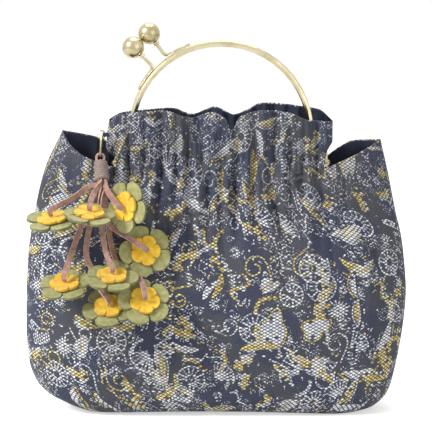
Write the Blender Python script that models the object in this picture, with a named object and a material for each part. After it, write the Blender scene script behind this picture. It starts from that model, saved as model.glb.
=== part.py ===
"""Gathered handbag on an arched ball-clasp frame, with a leather flower charm.

Metres, +Z up. The bag stands on its flat base at z = 0 and its front faces -Y.
The cloth body is the fixed part. Two hoops turn on a pin at each end of the mouth,
and each hoop carries a rod that runs through a gathered casing in the cloth.
"""

import math

import bmesh
import bpy
from mathutils import Matrix, Vector

# Cloth body
BODY_WIDTH = 0.3056
BODY_DEPTH = 0.092
BASE_DEPTH = 0.062
LEFT_EAR_HEIGHT = 0.2233
RIGHT_EAR_HEIGHT = 0.2161
EAR_DEPTH = 0.016
CLOTH_WALL = 0.0022
FOLD_DEPTH = 0.0030
SHELL_RAMP = 0.05
LINING_WALL = 0.0010
LINING_DROP = 0.0040
LINING_SLACK = 0.0021
LINING_RAMP = 0.20
TOUCH_GAP = 0.0003

# Hoops, with the height of the arch's centre above the pivot
FRAME_OFFSET = 0.004
ARCH_RISE = 0.0397
ARCH_RADIUS = 0.0711
HOOP_TUBE = 0.0048
HOOP_SPACING = 0.006
FOOT_SPREAD = 0.0815
FOOT_THICKNESS = 0.002
FOOT_RISE = 0.007
EYE_WALL = 0.0018
PIVOT_EYE_WALL = 0.0027
MOUTH_SLACK = 0.0045
PIVOT_HEIGHT = 0.182
PIVOT_PIN = 0.003
PIN_HEAD = 0.006
PIN_HEAD_THICKNESS = 0.0012
PIN_HEAD_EDGE = 0.0006

# Rods in the casings, measured from the pivot
ROD_DIAMETER = 0.004
ROD_RISE = 0.014
ROD_REACH = 0.009
ROD_CLEARANCE = 0.0004
NUT_DIAMETER = 0.0064
NUT_LENGTH = 0.0032
NUT_GRIP = 0.0017

# Ball clasp, placed on the arch by its angle from the right
BALL_DIAMETER = 0.0172
BALL_REACH = 0.0971
BALL_SPACING = 0.0072
CLASP_ANGLE = 130.7
BALL_HALF_ANGLE = 4.8
STEM_HALF_ANGLE = 7.7
STEM_DIAMETER = 0.0030
STEM_COLLAR = 0.0048
STEM_BEND = 0.0040
STRAP_ANGLE = 13.5
STRAP_WIDTH = 0.0044
STRAP_THICKNESS = 0.0016
STRAP_STEPS = 9
BEND_STEPS = 5
STEM_SIDES = 10
# Shares of the straight stem where it has a ring, with the collar from the last but two on
STEM_SHARES = (0.3, 0.6, 0.8, 0.801, 1.0)
COLLAR_SHARE = 0.8

# Gathered casings and the frilled headings above them
CASING_HALF_LENGTH = 0.079
CASING_RADIUS = 0.0044
SKIRT_RADIUS = 0.0176
SKIRT_WALL = 0.0016
SKIRT_ANGLE = 30.0
HEADING_HALF_LENGTH = 0.0888
HEADING_WALL = 0.0020
HEADING_REACH = 0.0076
HEADING_LEAN = 0.0035
WING_LIFT = 0.0060
FRONT_HEADING_RISE = 0.0580
REAR_HEADING_RISE = 0.0617
FRONT_SEED = 0.7
REAR_SEED = 2.9
CASING_RIPPLE = 0.0009
HEADING_RIPPLE = 0.0006
EDGE_RIPPLE = 0.0026
# Each ripple of the gathers: its share, its length over a full turn, its shift with the seed
GATHERS = ((0.62, 0.0031, 1.0), (0.38, 0.0049, 2.1))
# Each fold under the gathers: its share, its turns over the half width, its start
FOLDS = ((0.3, 31.0, 0.4), (0.2, 53.0, 2.0))

# Charm: tab, ring, clasp loop, leather loop and bound neck
RING_RADIUS = 0.0032
RING_WIRE = 0.0014
TAB_HEIGHT = 0.003
TAB_LENGTH = 0.0044
TAB_THICKNESS = 0.0036
TAB_HOLE = 0.0024
CHARM_RISE = 0.0395
CLASP_LENGTH = 0.0205
CLASP_WIDTH = 0.0070
CLASP_WIRE = 0.0018
CLASP_TILT = 42.0
LOOP_RADIUS = 0.0029
LOOP_THICKNESS = 0.0020
LOOP_DROP = 0.0022
THREAD_TURNS = 6
THREAD_DEPTH = 0.0003
NECK_LENGTH = 0.0165
NECK_DIAMETER = 0.0098
NECK_TILT = 32.0
LACE_DIAMETER = 0.0022
LACE_APPROACH = 0.0050
LACE_LEAD = 0.0030
PETAL_FLOWER = 0.041
CENTRE_FLOWER = 0.023
PETALS = 5
PETAL_NOTCH = 0.30
CENTRE_NOTCH = 0.26
PETAL_THICKNESS = 0.0016
LACE_HOLE = 0.0032

# Shares of the half width at shares of the ear's height, up the two sides
LEFT_SIDE = (
    (0.0, 0.70), (0.033, 0.806), (0.065, 0.895), (0.108, 0.953), (0.170, 0.987), (0.271, 1.0),
    (0.420, 0.997), (0.546, 0.987), (0.695, 0.953), (0.861, 0.895), (1.0, 0.800),
)
RIGHT_SIDE = (
    (0.0, 0.77), (0.019, 0.84), (0.071, 0.911), (0.127, 0.937), (0.228, 0.969), (0.333, 0.99),
    (0.434, 1.0), (0.540, 0.99), (0.652, 0.969), (0.719, 0.945), (0.872, 0.900), (1.0, 0.858),
)
# Shares of the way from the base's depth to the body's, then down to the lip's
SWELL = ((0.0, 0.0), (0.02, 0.40), (0.07, 0.75), (0.20, 0.96), (0.40, 1.0))
NECK = ((0.40, 1.0), (0.62, 0.82), (0.82, 0.38), (1.0, 0.0))
# Drops of the headings' top edges below their highest point, in metres
FRONT_EDGE = (
    (-1.0, 0.011), (-0.93, 0.004), (-0.48, 0.0), (-0.25, 0.006), (-0.08, 0.001), (0.10, 0.012),
    (0.17, 0.004), (0.37, 0.0), (0.58, 0.001), (0.80, 0.008), (1.0, 0.009),
)
REAR_EDGE = (
    (-1.0, 0.012), (-0.90, 0.008), (-0.44, 0.004), (-0.25, 0.009), (-0.05, 0.003), (0.12, 0.009),
    (0.38, 0.0), (0.60, 0.001), (0.88, 0.005), (1.0, 0.013),
)

# Sizes that follow from those above
ROD_HEIGHT = PIVOT_HEIGHT + ROD_RISE
ARCH_HEIGHT = PIVOT_HEIGHT + ARCH_RISE
HALF_GAP = HOOP_SPACING / 2
LIP_DROP = SKIRT_RADIUS * math.sin(math.radians(SKIRT_ANGLE))
LIP_HEIGHT = PIVOT_HEIGHT - LIP_DROP
LIP_HALF_DEPTH = SKIRT_RADIUS + 2 * TOUCH_GAP + CLOTH_WALL
FOOT_STEP = FOOT_THICKNESS + TOUCH_GAP + 0.0001
NUT_END = FOOT_SPREAD + FOOT_STEP + FOOT_THICKNESS / 2 + NUT_LENGTH
MOUTH_HALF_LENGTH = NUT_END + MOUTH_SLACK

FACE_STEPS = 34
OUTER_LEVELS = (0.0, 0.012, 0.035, 0.08, 0.16, 0.27, 0.40, 0.53, 0.66, 0.78, 0.89, 1.0)
INNER_LEVELS = (1.0, 0.86, 0.70, 0.52, 0.32, 0.14, 0.05, 0.0)


def clear_scene():
    for obj in list(bpy.data.objects):
        bpy.data.objects.remove(obj, do_unlink=True)


def new_collection(name):
    made = bpy.data.collections.new(name)
    bpy.context.scene.collection.children.link(made)
    return made


def new_material(name, colour, roughness, metallic=0.0):
    made = bpy.data.materials.new(name)
    made.use_nodes = True
    shader = made.node_tree.nodes["Principled BSDF"]
    shader.inputs["Base Color"].default_value = (*colour, 1.0)
    shader.inputs["Roughness"].default_value = roughness
    shader.inputs["Metallic"].default_value = metallic
    return made


def smooth(points, at):
    """A value read at one place from a smooth curve through (place, value) points."""
    at = min(max(at, points[0][0]), points[-1][0])
    steps = [
        (b[1] - a[1]) / (b[0] - a[0]) for a, b in zip(points[:-1], points[1:])
    ]
    slopes = [steps[0]]
    for before, after in zip(steps[:-1], steps[1:]):
        flat = before * after <= 0
        slopes.append(0.0 if flat else 2 * before * after / (before + after))
    slopes.append(steps[-1])
    for i, (a, b) in enumerate(zip(points[:-1], points[1:])):
        if at <= b[0]:
            span = b[0] - a[0]
            t = (at - a[0]) / span
            rise = t * t * (3 - 2 * t)
            return (
                a[1] * (1 - rise)
                + b[1] * rise
                + span * t * (1 - t) * ((1 - t) * slopes[i] - t * slopes[i + 1])
            )
    return points[-1][1]


def ease(t):
    t = min(max(t, 0.0), 1.0)
    return t * t * (3 - 2 * t)


def finish_mesh(name, bm, coat, smooth_angle=40):
    """Turns a bmesh into a named object of the handbag, faces pointing out."""
    bmesh.ops.recalc_face_normals(bm, faces=bm.faces)
    mesh = bpy.data.meshes.new(name)
    bm.to_mesh(mesh)
    bm.free()
    mesh.shade_smooth()
    mesh.set_sharp_from_angle(angle=math.radians(smooth_angle))
    obj = bpy.data.objects.new(name, mesh)
    mesh.materials.append(coat)
    handbag.objects.link(obj)
    return obj


def loft(name, rings, coat):
    """A closed solid through rings of equally many points, with its two ends filled."""
    bm = bmesh.new()
    rows = [[bm.verts.new(point) for point in ring] for ring in rings]
    count = len(rows[0])
    for low, high in zip(rows[:-1], rows[1:]):
        for i in range(count):
            j = (i + 1) % count
            bm.faces.new((low[i], low[j], high[j], high[i]))
    bm.faces.new(rows[0][::-1])
    bm.faces.new(rows[-1])
    return finish_mesh(name, bm, coat)


def tube(name, points, diameter, coat, cyclic=False, sides=2):
    """A round wire or cord along points, as a bevelled curve with filled ends."""
    curve = bpy.data.curves.new(name, "CURVE")
    curve.dimensions = "3D"
    curve.bevel_depth = diameter / 2
    curve.bevel_resolution = sides
    curve.use_fill_caps = not cyclic
    spline = curve.splines.new("POLY")
    spline.points.add(len(points) - 1)
    for place, point in zip(spline.points, points):
        place.co = (*point, 1.0)
        place.radius = 1.0
    spline.use_cyclic_u = cyclic
    spline.use_smooth = True
    obj = bpy.data.objects.new(name, curve)
    curve.materials.append(coat)
    handbag.objects.link(obj)
    return obj


def as_mesh(obj):
    """The same object as a mesh with its loose caps welded."""
    graph = bpy.context.evaluated_depsgraph_get()
    mesh = bpy.data.meshes.new_from_object(obj.evaluated_get(graph))
    bm = bmesh.new()
    bm.from_mesh(mesh)
    bmesh.ops.remove_doubles(bm, verts=bm.verts, dist=1e-6)
    bmesh.ops.recalc_face_normals(bm, faces=bm.faces)
    bm.to_mesh(mesh)
    bm.free()
    name = obj.name
    matrix = obj.matrix_world.copy()
    bpy.data.objects.remove(obj, do_unlink=True)
    made = bpy.data.objects.new(name, mesh)
    made.matrix_world = matrix
    handbag.objects.link(made)
    return made


def turned(name, profile, start, axis, coat, steps=20):
    """A turned piece: (distance along the axis, radius) points spun about it."""
    bm = bmesh.new()
    points = [bm.verts.new((radius, 0.0, along)) for along, radius in profile]
    edges = [bm.edges.new(pair) for pair in zip(points[:-1], points[1:])]
    bmesh.ops.spin(
        bm, geom=points + edges, axis=(0, 0, 1), cent=(0, 0, 0),
        angle=math.tau, steps=steps, use_merge=True,
    )
    bmesh.ops.remove_doubles(bm, verts=bm.verts, dist=1e-6)
    turn = Vector(axis).to_track_quat("Z", "Y").to_matrix().to_4x4()
    bmesh.ops.transform(bm, matrix=Matrix.Translation(start) @ turn, verts=bm.verts)
    return finish_mesh(name, bm, coat)


def helper(obj):
    """Keeps an object only as the cutter or joined half of another."""
    handbag.objects.unlink(obj)
    cutters.objects.link(obj)
    obj.hide_render = True
    obj.display_type = "WIRE"
    return obj


def combine(target, other, operation):
    step = target.modifiers.new(other.name, "BOOLEAN")
    step.operation = operation
    step.solver = "EXACT"
    step.object = helper(other)


def pivot(name, place, pieces, parent=None):
    """An empty on a joint's axis that carries its pieces."""
    empty = bpy.data.objects.new(name, None)
    empty.empty_display_size = 0.01
    empty.matrix_world = Matrix.Translation(place)
    handbag.objects.link(empty)
    for piece in pieces:
        piece.parent = empty
        piece.matrix_parent_inverse = Matrix.Translation(place).inverted()
    if parent:
        empty.parent = parent
        empty.matrix_parent_inverse = parent.matrix_world.inverted()
    return empty


# The cloth body's outline, depth and mouth


def ear_height(w):
    return LEFT_EAR_HEIGHT if w < 0 else RIGHT_EAR_HEIGHT


def half_width(w, z):
    side = LEFT_SIDE if w < 0 else RIGHT_SIDE
    return BODY_WIDTH / 2 * smooth(side, z / ear_height(w))


def half_depth(z):
    share = z / LIP_HEIGHT
    if share <= SWELL[-1][0]:
        return (BASE_DEPTH + (BODY_DEPTH - BASE_DEPTH) * smooth(SWELL, share)) / 2
    if share <= 1:
        return LIP_HALF_DEPTH + (BODY_DEPTH / 2 - LIP_HALF_DEPTH) * smooth(NECK, share)
    above = (z - LIP_HEIGHT) / (LEFT_EAR_HEIGHT - LIP_HEIGHT)
    return LIP_HALF_DEPTH + (EAR_DEPTH - LIP_HALF_DEPTH) * above


def mouth_height(w, rear, ramp):
    """The mouth's edge: low behind the casing, then rising along the ear to its seam."""
    mouth = MOUTH_HALF_LENGTH + math.copysign(FRAME_OFFSET, w)
    inner = mouth / half_width(w, LIP_HEIGHT)
    outer = inner + ramp
    if abs(w) <= inner:
        return LIP_HEIGHT
    shoulder = ROD_HEIGHT - TOUCH_GAP
    if abs(w) <= outer:
        return LIP_HEIGHT + (shoulder - LIP_HEIGHT) * ease((abs(w) - inner) / (outer - inner))
    along = (abs(w) - outer) / (1 - outer)
    return shoulder + (ear_height(w) - shoulder) * along ** (0.6 if rear else 1.0)


def folds(w):
    """Soft folds that fall from the gathers, from 0 in a hollow to 1 on a crest."""
    return 0.5 + sum(share * math.sin(turns * w + start) for share, turns, start in FOLDS)


def body_point(w, rear, z, inset, fold):
    """A point on the body's wall, moved in by an inset and out by its folds."""
    x = w * (half_width(w, z) - inset)
    round_to = 3.0 + 4.0 * (1 - ease(z / 0.05))
    bow = (1 - abs(w) ** round_to) ** (1 / (2.0 + 0.8 * (1 - ease(z / 0.06))))
    grow = ease(z / LIP_HEIGHT) * fold * FOLD_DEPTH * folds(w) * (1 - w * w)
    y = (half_depth(z) - inset) * bow + grow
    return Vector((x, y if rear else -y, z))


def body_ring(level, inset, floor, drop, fold, steps=FACE_STEPS, ramp=SHELL_RAMP):
    """One ring of the body, left seam to right along the front, back along the rear."""
    ring = []
    for step in range(2 * steps):
        rear = step >= steps
        q = -1 + 2 * (step % steps) / steps
        w = 0.5 * q + 0.5 * math.sin(q * math.pi / 2)
        w = -w if rear else w
        top = mouth_height(w, rear, ramp) - drop
        ring.append(body_point(w, rear, floor + level * (top - floor), inset, fold))
    return ring


def bag_shell(coat):
    outside = [body_ring(level, 0.0, 0.0, 0.0, 1.0) for level in OUTER_LEVELS]
    inside = [
        body_ring(level, CLOTH_WALL, CLOTH_WALL, 0.0, 0.0) for level in INNER_LEVELS
    ]
    return loft("bag_shell", outside + inside, coat)


def lining(coat):
    far = CLOTH_WALL + LINING_SLACK
    near = far + LINING_WALL
    half = FACE_STEPS // 2
    outside = [
        body_ring(level, far, far, LINING_DROP, 0.0, half, LINING_RAMP)
        for level in INNER_LEVELS[::-1]
    ]
    inside = [
        body_ring(level, near, near, LINING_DROP, 0.0, half, LINING_RAMP)
        for level in INNER_LEVELS
    ]
    return loft("lining", outside + inside, coat)


# The hoops, their feet, rods and pins


def hoop_points(foot_x):
    """The centre line of a hoop: up a flared leg, over the arch and down again."""
    foot_z = ROD_HEIGHT + FOOT_RISE
    leg = []
    for step in range(6):
        up = step / 6
        x = ARCH_RADIUS + (foot_x - ARCH_RADIUS) * (1 - up) ** 2
        leg.append((x, foot_z + (ARCH_HEIGHT - foot_z) * up))
    arch = []
    for step in range(25):
        angle = math.pi * step / 24
        arch.append(
            (ARCH_RADIUS * math.cos(angle), ARCH_HEIGHT + ARCH_RADIUS * math.sin(angle))
        )
    return leg + arch + [(-x, z) for x, z in leg[::-1]]


def foot_plate(name, x, front, coat):
    """A flat foot that spans from the leg past the rod's eye down to the pivot."""
    bm = bmesh.new()
    rounds = (
        (0.0, PIVOT_HEIGHT, PIVOT_PIN / 2 + PIVOT_EYE_WALL),
        (front * ROD_REACH, ROD_HEIGHT, ROD_DIAMETER / 2 + EYE_WALL),
        (front * HALF_GAP, ROD_HEIGHT + FOOT_RISE + 0.001, HOOP_TUBE / 2 + 0.0002),
    )
    for face in (-0.5, 0.5):
        for y, z, radius in rounds:
            for step in range(12):
                turn = math.tau * step / 12
                bm.verts.new(
                    (
                        x + face * FOOT_THICKNESS,
                        y + radius * math.cos(turn),
                        z + radius * math.sin(turn),
                    )
                )
    bmesh.ops.convex_hull(bm, input=bm.verts)
    loose = [vert for vert in bm.verts if not vert.link_faces]
    bmesh.ops.delete(bm, geom=loose, context="VERTS")
    return finish_mesh(name, bm, coat)


def cross_bar(name, x, y, z, length, radius, coat, sides=20):
    profile = ((0.0, 0.0), (0.0, radius), (length, radius), (length, 0.0))
    return turned(name, profile, (x - length / 2, y, z), (1, 0, 0), coat, sides)


def hoop(side, front, foot_x, coat):
    """One hoop with its two feet, drilled for the rod and for the pivot pins."""
    y = front * HALF_GAP
    points = [(FRAME_OFFSET + x, y, z) for x, z in hoop_points(foot_x)]
    body = as_mesh(tube(f"{side}_hoop", points, HOOP_TUBE, coat))
    for end in (-1, 1):
        plate = foot_plate(f"{side}_foot", FRAME_OFFSET + end * foot_x, front, coat)
        combine(body, plate, "UNION")
    span = 2 * foot_x + 0.02
    pin_hole = PIVOT_PIN / 2 + TOUCH_GAP
    rod_hole = ROD_DIAMETER / 2 + TOUCH_GAP
    for name, hole_y, hole_z, radius in (
        ("pin", 0.0, PIVOT_HEIGHT, pin_hole),
        ("rod", front * ROD_REACH, ROD_HEIGHT, rod_hole),
    ):
        drill = cross_bar(
            f"{side}_{name}_drill", FRAME_OFFSET, hole_y, hole_z, span, radius, coat
        )
        combine(body, drill, "DIFFERENCE")
    return body


def rod_and_nuts(side, front, foot_x, brass):
    """The straight rod of one casing and the domed nuts on its ends."""
    y = front * ROD_REACH
    face = foot_x + FOOT_THICKNESS / 2
    length = 2 * (face + NUT_GRIP)
    rod = cross_bar(
        f"{side}_rod", FRAME_OFFSET, y, ROD_HEIGHT, length, ROD_DIAMETER / 2, brass
    )
    bore = ROD_DIAMETER / 2 + TOUCH_GAP
    rim = NUT_DIAMETER / 2
    profile = (
        (0.0, bore), (0.0, rim), (NUT_LENGTH * 0.45, rim), (NUT_LENGTH * 0.8, rim * 0.72),
        (NUT_LENGTH, 0.0), (NUT_GRIP + TOUCH_GAP, 0.0), (NUT_GRIP + TOUCH_GAP, bore), (0.0, bore),
    )
    nuts = []
    for end, word in ((-1, "left"), (1, "right")):
        start = (FRAME_OFFSET + end * (face + TOUCH_GAP), y, ROD_HEIGHT)
        name = f"{side}_rod_nut_{word}"
        nuts.append(turned(name, profile, start, (end, 0, 0), brass, 12))
    return [rod, *nuts]


def hinge_pin(word, end, brass):
    """A rivet through the two feet at one end of the mouth."""
    inner = FOOT_SPREAD - FOOT_THICKNESS / 2 - TOUCH_GAP
    outer = FOOT_SPREAD + FOOT_STEP + FOOT_THICKNESS / 2 + TOUCH_GAP
    head = PIN_HEAD_THICKNESS
    shank = PIVOT_PIN / 2
    length = outer - inner
    profile = (
        (-head, 0.0), (-head, PIN_HEAD / 2 - PIN_HEAD_EDGE), (-head / 2, PIN_HEAD / 2), (0.0, PIN_HEAD / 2),
        (0.0, shank), (length, shank), (length, PIN_HEAD / 2),
        (length + head / 2, PIN_HEAD / 2), (length + head, PIN_HEAD / 2 - PIN_HEAD_EDGE),
        (length + head, 0.0),
    )
    start = (FRAME_OFFSET + end * inner, 0.0, PIVOT_HEIGHT)
    return turned(f"hinge_pin_{word}", profile, start, (end, 0, 0), brass, 12)


# The ball clasp


def on_arch(radius, degrees, y):
    turn = math.radians(degrees)
    return Vector(
        (
            FRAME_OFFSET + radius * math.cos(turn),
            y,
            ARCH_HEIGHT + radius * math.sin(turn),
        )
    )


def from_arch(degrees):
    """The way straight out from the arch's centre at an angle."""
    return on_arch(1, degrees, 0) - on_arch(0, degrees, 0)


def stem_way(away):
    """The clasp stem's centre line in the hoop's plane: along the hoop, then bent outward.

    Each entry holds the point, the way across the strip, and its share along the stem.
    """
    strap_radius = ARCH_RADIUS + HOOP_TUBE / 2 + TOUCH_GAP + STRAP_THICKNESS / 2
    root = CLASP_ANGLE + away * STEM_HALF_ANGLE
    way = []
    for step in range(STRAP_STEPS):
        angle = root + away * STRAP_ANGLE * (1 - step / STRAP_STEPS)
        way.append((on_arch(strap_radius, angle, 0), from_arch(angle), 0.0))
    outward = from_arch(root)
    inward = from_arch(root - away * 90)
    centre = on_arch(strap_radius + STEM_BEND, root, 0)
    for step in range(BEND_STEPS + 1):
        turn = math.pi / 2 * step / BEND_STEPS
        across = outward * math.cos(turn) - inward * math.sin(turn)
        way.append((centre - across * STEM_BEND, across, 0.0))
    knee = way[-1][0]
    ball = on_arch(BALL_REACH, CLASP_ANGLE + away * BALL_HALF_ANGLE, 0)
    toward = (ball - knee).normalized()
    across = toward.cross(Vector((0, away, 0)))
    length = (ball - knee).length - BALL_DIAMETER / 2 - TOUCH_GAP
    for share in STEM_SHARES:
        way.append((knee + toward * (length * share), across, share))
    return way


def clasp_stem(side, front, away, brass):
    """One strip: a strap soldered along the hoop that bends out into the ball's stem."""
    rings = []
    for i, (place, across, share) in enumerate(stem_way(away)):
        stem = ease((i - STRAP_STEPS + 2) / (BEND_STEPS + 1))
        taper = 0.5 + 0.5 * ease(2 * i / STRAP_STEPS)
        wide = (STRAP_WIDTH * (1 - stem) + STEM_DIAMETER * stem) / 2 * taper
        thick = (STRAP_THICKNESS * (1 - stem) + STEM_DIAMETER * stem) / 2
        if share > COLLAR_SHARE:
            wide, thick = STEM_COLLAR / 2, STEM_COLLAR / 2
        shift = front * (HALF_GAP + (BALL_SPACING / 2 - HALF_GAP) * share)
        ring = []
        for step in range(STEM_SIDES):
            turn = math.tau * (step + 0.5) / STEM_SIDES
            c, s = math.cos(turn), math.sin(turn)
            side_way = math.copysign(abs(c) ** 0.7, c) * wide
            ring.append(place + Vector((0, shift + side_way, 0)) + across * (s * thick))
        rings.append(ring)
    return loft(f"{side}_clasp_stem", rings, brass)


def clasp_ball(side, front, away, brass):
    place = on_arch(BALL_REACH, CLASP_ANGLE + away * BALL_HALF_ANGLE, front * BALL_SPACING / 2)
    bm = bmesh.new()
    bmesh.ops.create_uvsphere(bm, u_segments=16, v_segments=10, radius=BALL_DIAMETER / 2)
    bmesh.ops.translate(bm, vec=place, verts=bm.verts)
    return finish_mesh(f"{side}_clasp_ball", bm, brass)


# The gathered casings and headings


def gathers(x, seed):
    """The ripple of the gathered cloth along the rod, between -1 and 1."""
    return sum(share * math.sin(x / length + shift * seed) for share, length, shift in GATHERS)


def casing_section(x, seed):
    """The casing and the skirt under it, as (outward, up) points around the section."""
    ripple = CASING_RIPPLE * gathers(x, seed)
    rod = Vector((ROD_REACH, ROD_HEIGHT))
    points = []
    for step in range(3):
        turn = math.radians(SKIRT_ANGLE * (1 - step / 2))
        points.append(
            (SKIRT_RADIUS * math.cos(turn), PIVOT_HEIGHT - SKIRT_RADIUS * math.sin(turn))
        )
    for degrees, puff in ((-30, 0.3), (5, 1.0), (40, 1.0), (68, 0.6)):
        turn = math.radians(degrees)
        radius = CASING_RADIUS + puff * ripple
        points.append((rod.x + radius * math.cos(turn), rod.y + radius * math.sin(turn)))
    for degrees in (110, 160, 205, 250):
        turn = math.radians(degrees)
        points.append(
            (
                rod.x + CASING_RADIUS * math.cos(turn),
                rod.y + CASING_RADIUS * math.sin(turn),
            )
        )
    inner = SKIRT_RADIUS - SKIRT_WALL
    for step in range(3):
        turn = math.radians(SKIRT_ANGLE * step / 2)
        points.append((inner * math.cos(turn), PIVOT_HEIGHT - inner * math.sin(turn)))
    return points


def heading_reach(x, up, seed):
    """How far out the heading's inner face lies, at a share of the way up it."""
    ripple = (HEADING_RIPPLE + EDGE_RIPPLE * up) * gathers(x, seed)
    return HEADING_REACH + HEADING_LEAN * up + ripple


def heading_section(x, edge, rise, seed):
    """The frill above the casing, a wall that leans out and ripples more towards its edge."""
    wing = ease((abs(x) - CASING_HALF_LENGTH + 0.005) / 0.005)
    low = ROD_HEIGHT + CASING_RADIUS * 0.72 + WING_LIFT * wing
    high = PIVOT_HEIGHT + rise - smooth(edge, x / HEADING_HALF_LENGTH)
    outer = []
    inner = []
    for step in range(4):
        up = step / 3
        z = low + (high - low) * up
        u = heading_reach(x, up, seed)
        outer.append((u + HEADING_WALL, z))
        inner.append((u, z))
    return outer + inner[::-1]


def tab_rings(half_length, spacing, section, front):
    count = max(8, round(2 * half_length / spacing))
    rings = []
    for step in range(count + 1):
        x = -half_length + 2 * half_length * step / count
        rings.append(
            [Vector((FRAME_OFFSET + x, front * u, z)) for u, z in section(x)]
        )
    return rings


def heading(side, front, edge, rise, seed, coat):
    """The cloth that rides on one rod: casing, skirt and frill in one piece."""
    piece = loft(
        f"{side}_heading",
        tab_rings(
            HEADING_HALF_LENGTH, 0.0050, lambda x: heading_section(x, edge, rise, seed), front
        ),
        coat,
    )
    casing = loft(
        f"{side}_casing",
        tab_rings(CASING_HALF_LENGTH, 0.0055, lambda x: casing_section(x, seed), front),
        coat,
    )
    combine(piece, casing, "UNION")
    channel = cross_bar(
        f"{side}_channel",
        FRAME_OFFSET,
        front * ROD_REACH,
        ROD_HEIGHT,
        2 * CASING_HALF_LENGTH + 0.01,
        ROD_DIAMETER / 2 + ROD_CLEARANCE,
        coat,
        12,
    )
    combine(piece, channel, "DIFFERENCE")
    return piece


# The charm


def tab_hole_x():
    return FRAME_OFFSET - HEADING_HALF_LENGTH - TOUCH_GAP - TAB_LENGTH / 2


def charm_ring_centre():
    wall = heading_reach(-HEADING_HALF_LENGTH, 0.6, FRONT_SEED) + HEADING_WALL / 2
    return Vector((tab_hole_x() - RING_RADIUS, -wall, PIVOT_HEIGHT + CHARM_RISE))


def clasp_axis():
    """The way the clasp loop lies, from the ring forward and down over the mouth's edge."""
    tilt = math.radians(CLASP_TILT)
    return Vector((-0.03, -math.sin(tilt), -math.cos(tilt))).normalized()


def clasp_top():
    centre = charm_ring_centre()
    return centre - Vector((0, 0, RING_RADIUS))


def clasp_start():
    """The upper end of the clasp's centre line, which hangs on the ring."""
    return clasp_top() - clasp_axis() * (RING_WIRE / 2 + CLASP_WIRE / 2 + TOUCH_GAP)


def clasp_foot():
    """Where the leather loop's top lies on the lower end of the clasp."""
    slack = CLASP_WIRE * 1.5 + LOOP_THICKNESS / 2 + TOUCH_GAP
    return clasp_start() + clasp_axis() * (CLASP_LENGTH - slack)


def charm_tab(coat):
    """A short folded tab of cloth on the heading's edge, with the ring through it."""
    centre = charm_ring_centre()
    bm = bmesh.new()
    bmesh.ops.create_cube(bm, size=1.0)
    bmesh.ops.scale(bm, vec=(TAB_LENGTH, TAB_THICKNESS, TAB_HEIGHT), verts=bm.verts)
    bmesh.ops.translate(bm, vec=(tab_hole_x(), centre.y, centre.z), verts=bm.verts)
    piece = finish_mesh("charm_tab", bm, coat)
    radius = TAB_HOLE / 2
    profile = ((0.0, 0.0), (0.0, radius), (TAB_HEIGHT * 2, radius), (TAB_HEIGHT * 2, 0.0))
    start = (tab_hole_x(), centre.y, centre.z - TAB_HEIGHT)
    combine(piece, turned("charm_tab_hole", profile, start, (0, 0, 1), coat, 10), "DIFFERENCE")
    return piece


def charm_ring(brass):
    points = []
    for step in range(16):
        turn = math.tau * step / 16
        way = Vector((math.cos(turn), 0.0, math.sin(turn)))
        points.append(charm_ring_centre() + way * RING_RADIUS)
    return tube("charm_ring", points, RING_WIRE, brass, cyclic=True, sides=1)


def charm_clasp(brass):
    """A long closed loop of brass wire that links the ring and the leather loop."""
    along = clasp_axis()
    across = along.cross(Vector((1, 0, 0))).normalized()
    half = CLASP_LENGTH / 2 - CLASP_WIRE / 2
    centre = clasp_start() + along * half
    points = []
    for step in range(20):
        turn = math.tau * step / 20
        c, s = math.cos(turn), math.sin(turn)
        wide = (CLASP_WIDTH - CLASP_WIRE) / 2
        points.append(
            centre
            + along * (half * math.copysign(abs(c) ** 0.8, c))
            + across * (wide * math.copysign(abs(s) ** 0.6, s))
        )
    return tube("charm_clasp", points, CLASP_WIRE, brass, cyclic=True, sides=1)


def neck_axis():
    tilt = math.radians(NECK_TILT)
    return Vector((0.10, -math.sin(tilt), -math.cos(tilt))).normalized()


def neck_top():
    low = Vector((0, 0, -LOOP_RADIUS - LOOP_DROP))
    return clasp_foot() + low + neck_axis() * LOOP_THICKNESS * 0.6


def charm_loop(leather):
    """A leather lace bent over the clasp, its two ends held in the bound neck."""
    top = clasp_foot() + Vector((0, 0, -LOOP_RADIUS))
    lift = TOUCH_GAP + LOOP_THICKNESS / 2 * math.sin(math.radians(NECK_TILT))
    end = neck_top() - neck_axis() * lift
    points = [end + Vector((-LOOP_RADIUS, 0, 0.0))]
    for step in range(11):
        turn = math.pi * (1 - step / 10)
        points.append(
            top + Vector((LOOP_RADIUS * math.cos(turn), 0, LOOP_RADIUS * math.sin(turn)))
        )
    points.append(end + Vector((LOOP_RADIUS, 0, 0.0)))
    return tube("charm_loop", points, LOOP_THICKNESS, leather)


def charm_neck(thread):
    """The neck of the charm, bound with thread in close turns."""
    radius = NECK_DIAMETER / 2
    profile = [(0.0, 0.0), (0.0, radius * 0.86)]
    for step in range(THREAD_TURNS):
        share = (step + 0.5) / THREAD_TURNS
        swell = radius * (0.94 + 0.06 * share)
        profile.append((NECK_LENGTH * share, swell))
        if step < THREAD_TURNS - 1:
            profile.append((NECK_LENGTH * (step + 1) / THREAD_TURNS, swell - THREAD_DEPTH))
    profile += [(NECK_LENGTH, radius * 0.92), (NECK_LENGTH, 0.0)]
    return turned("charm_neck", profile, neck_top(), neck_axis(), thread, 12)


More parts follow.
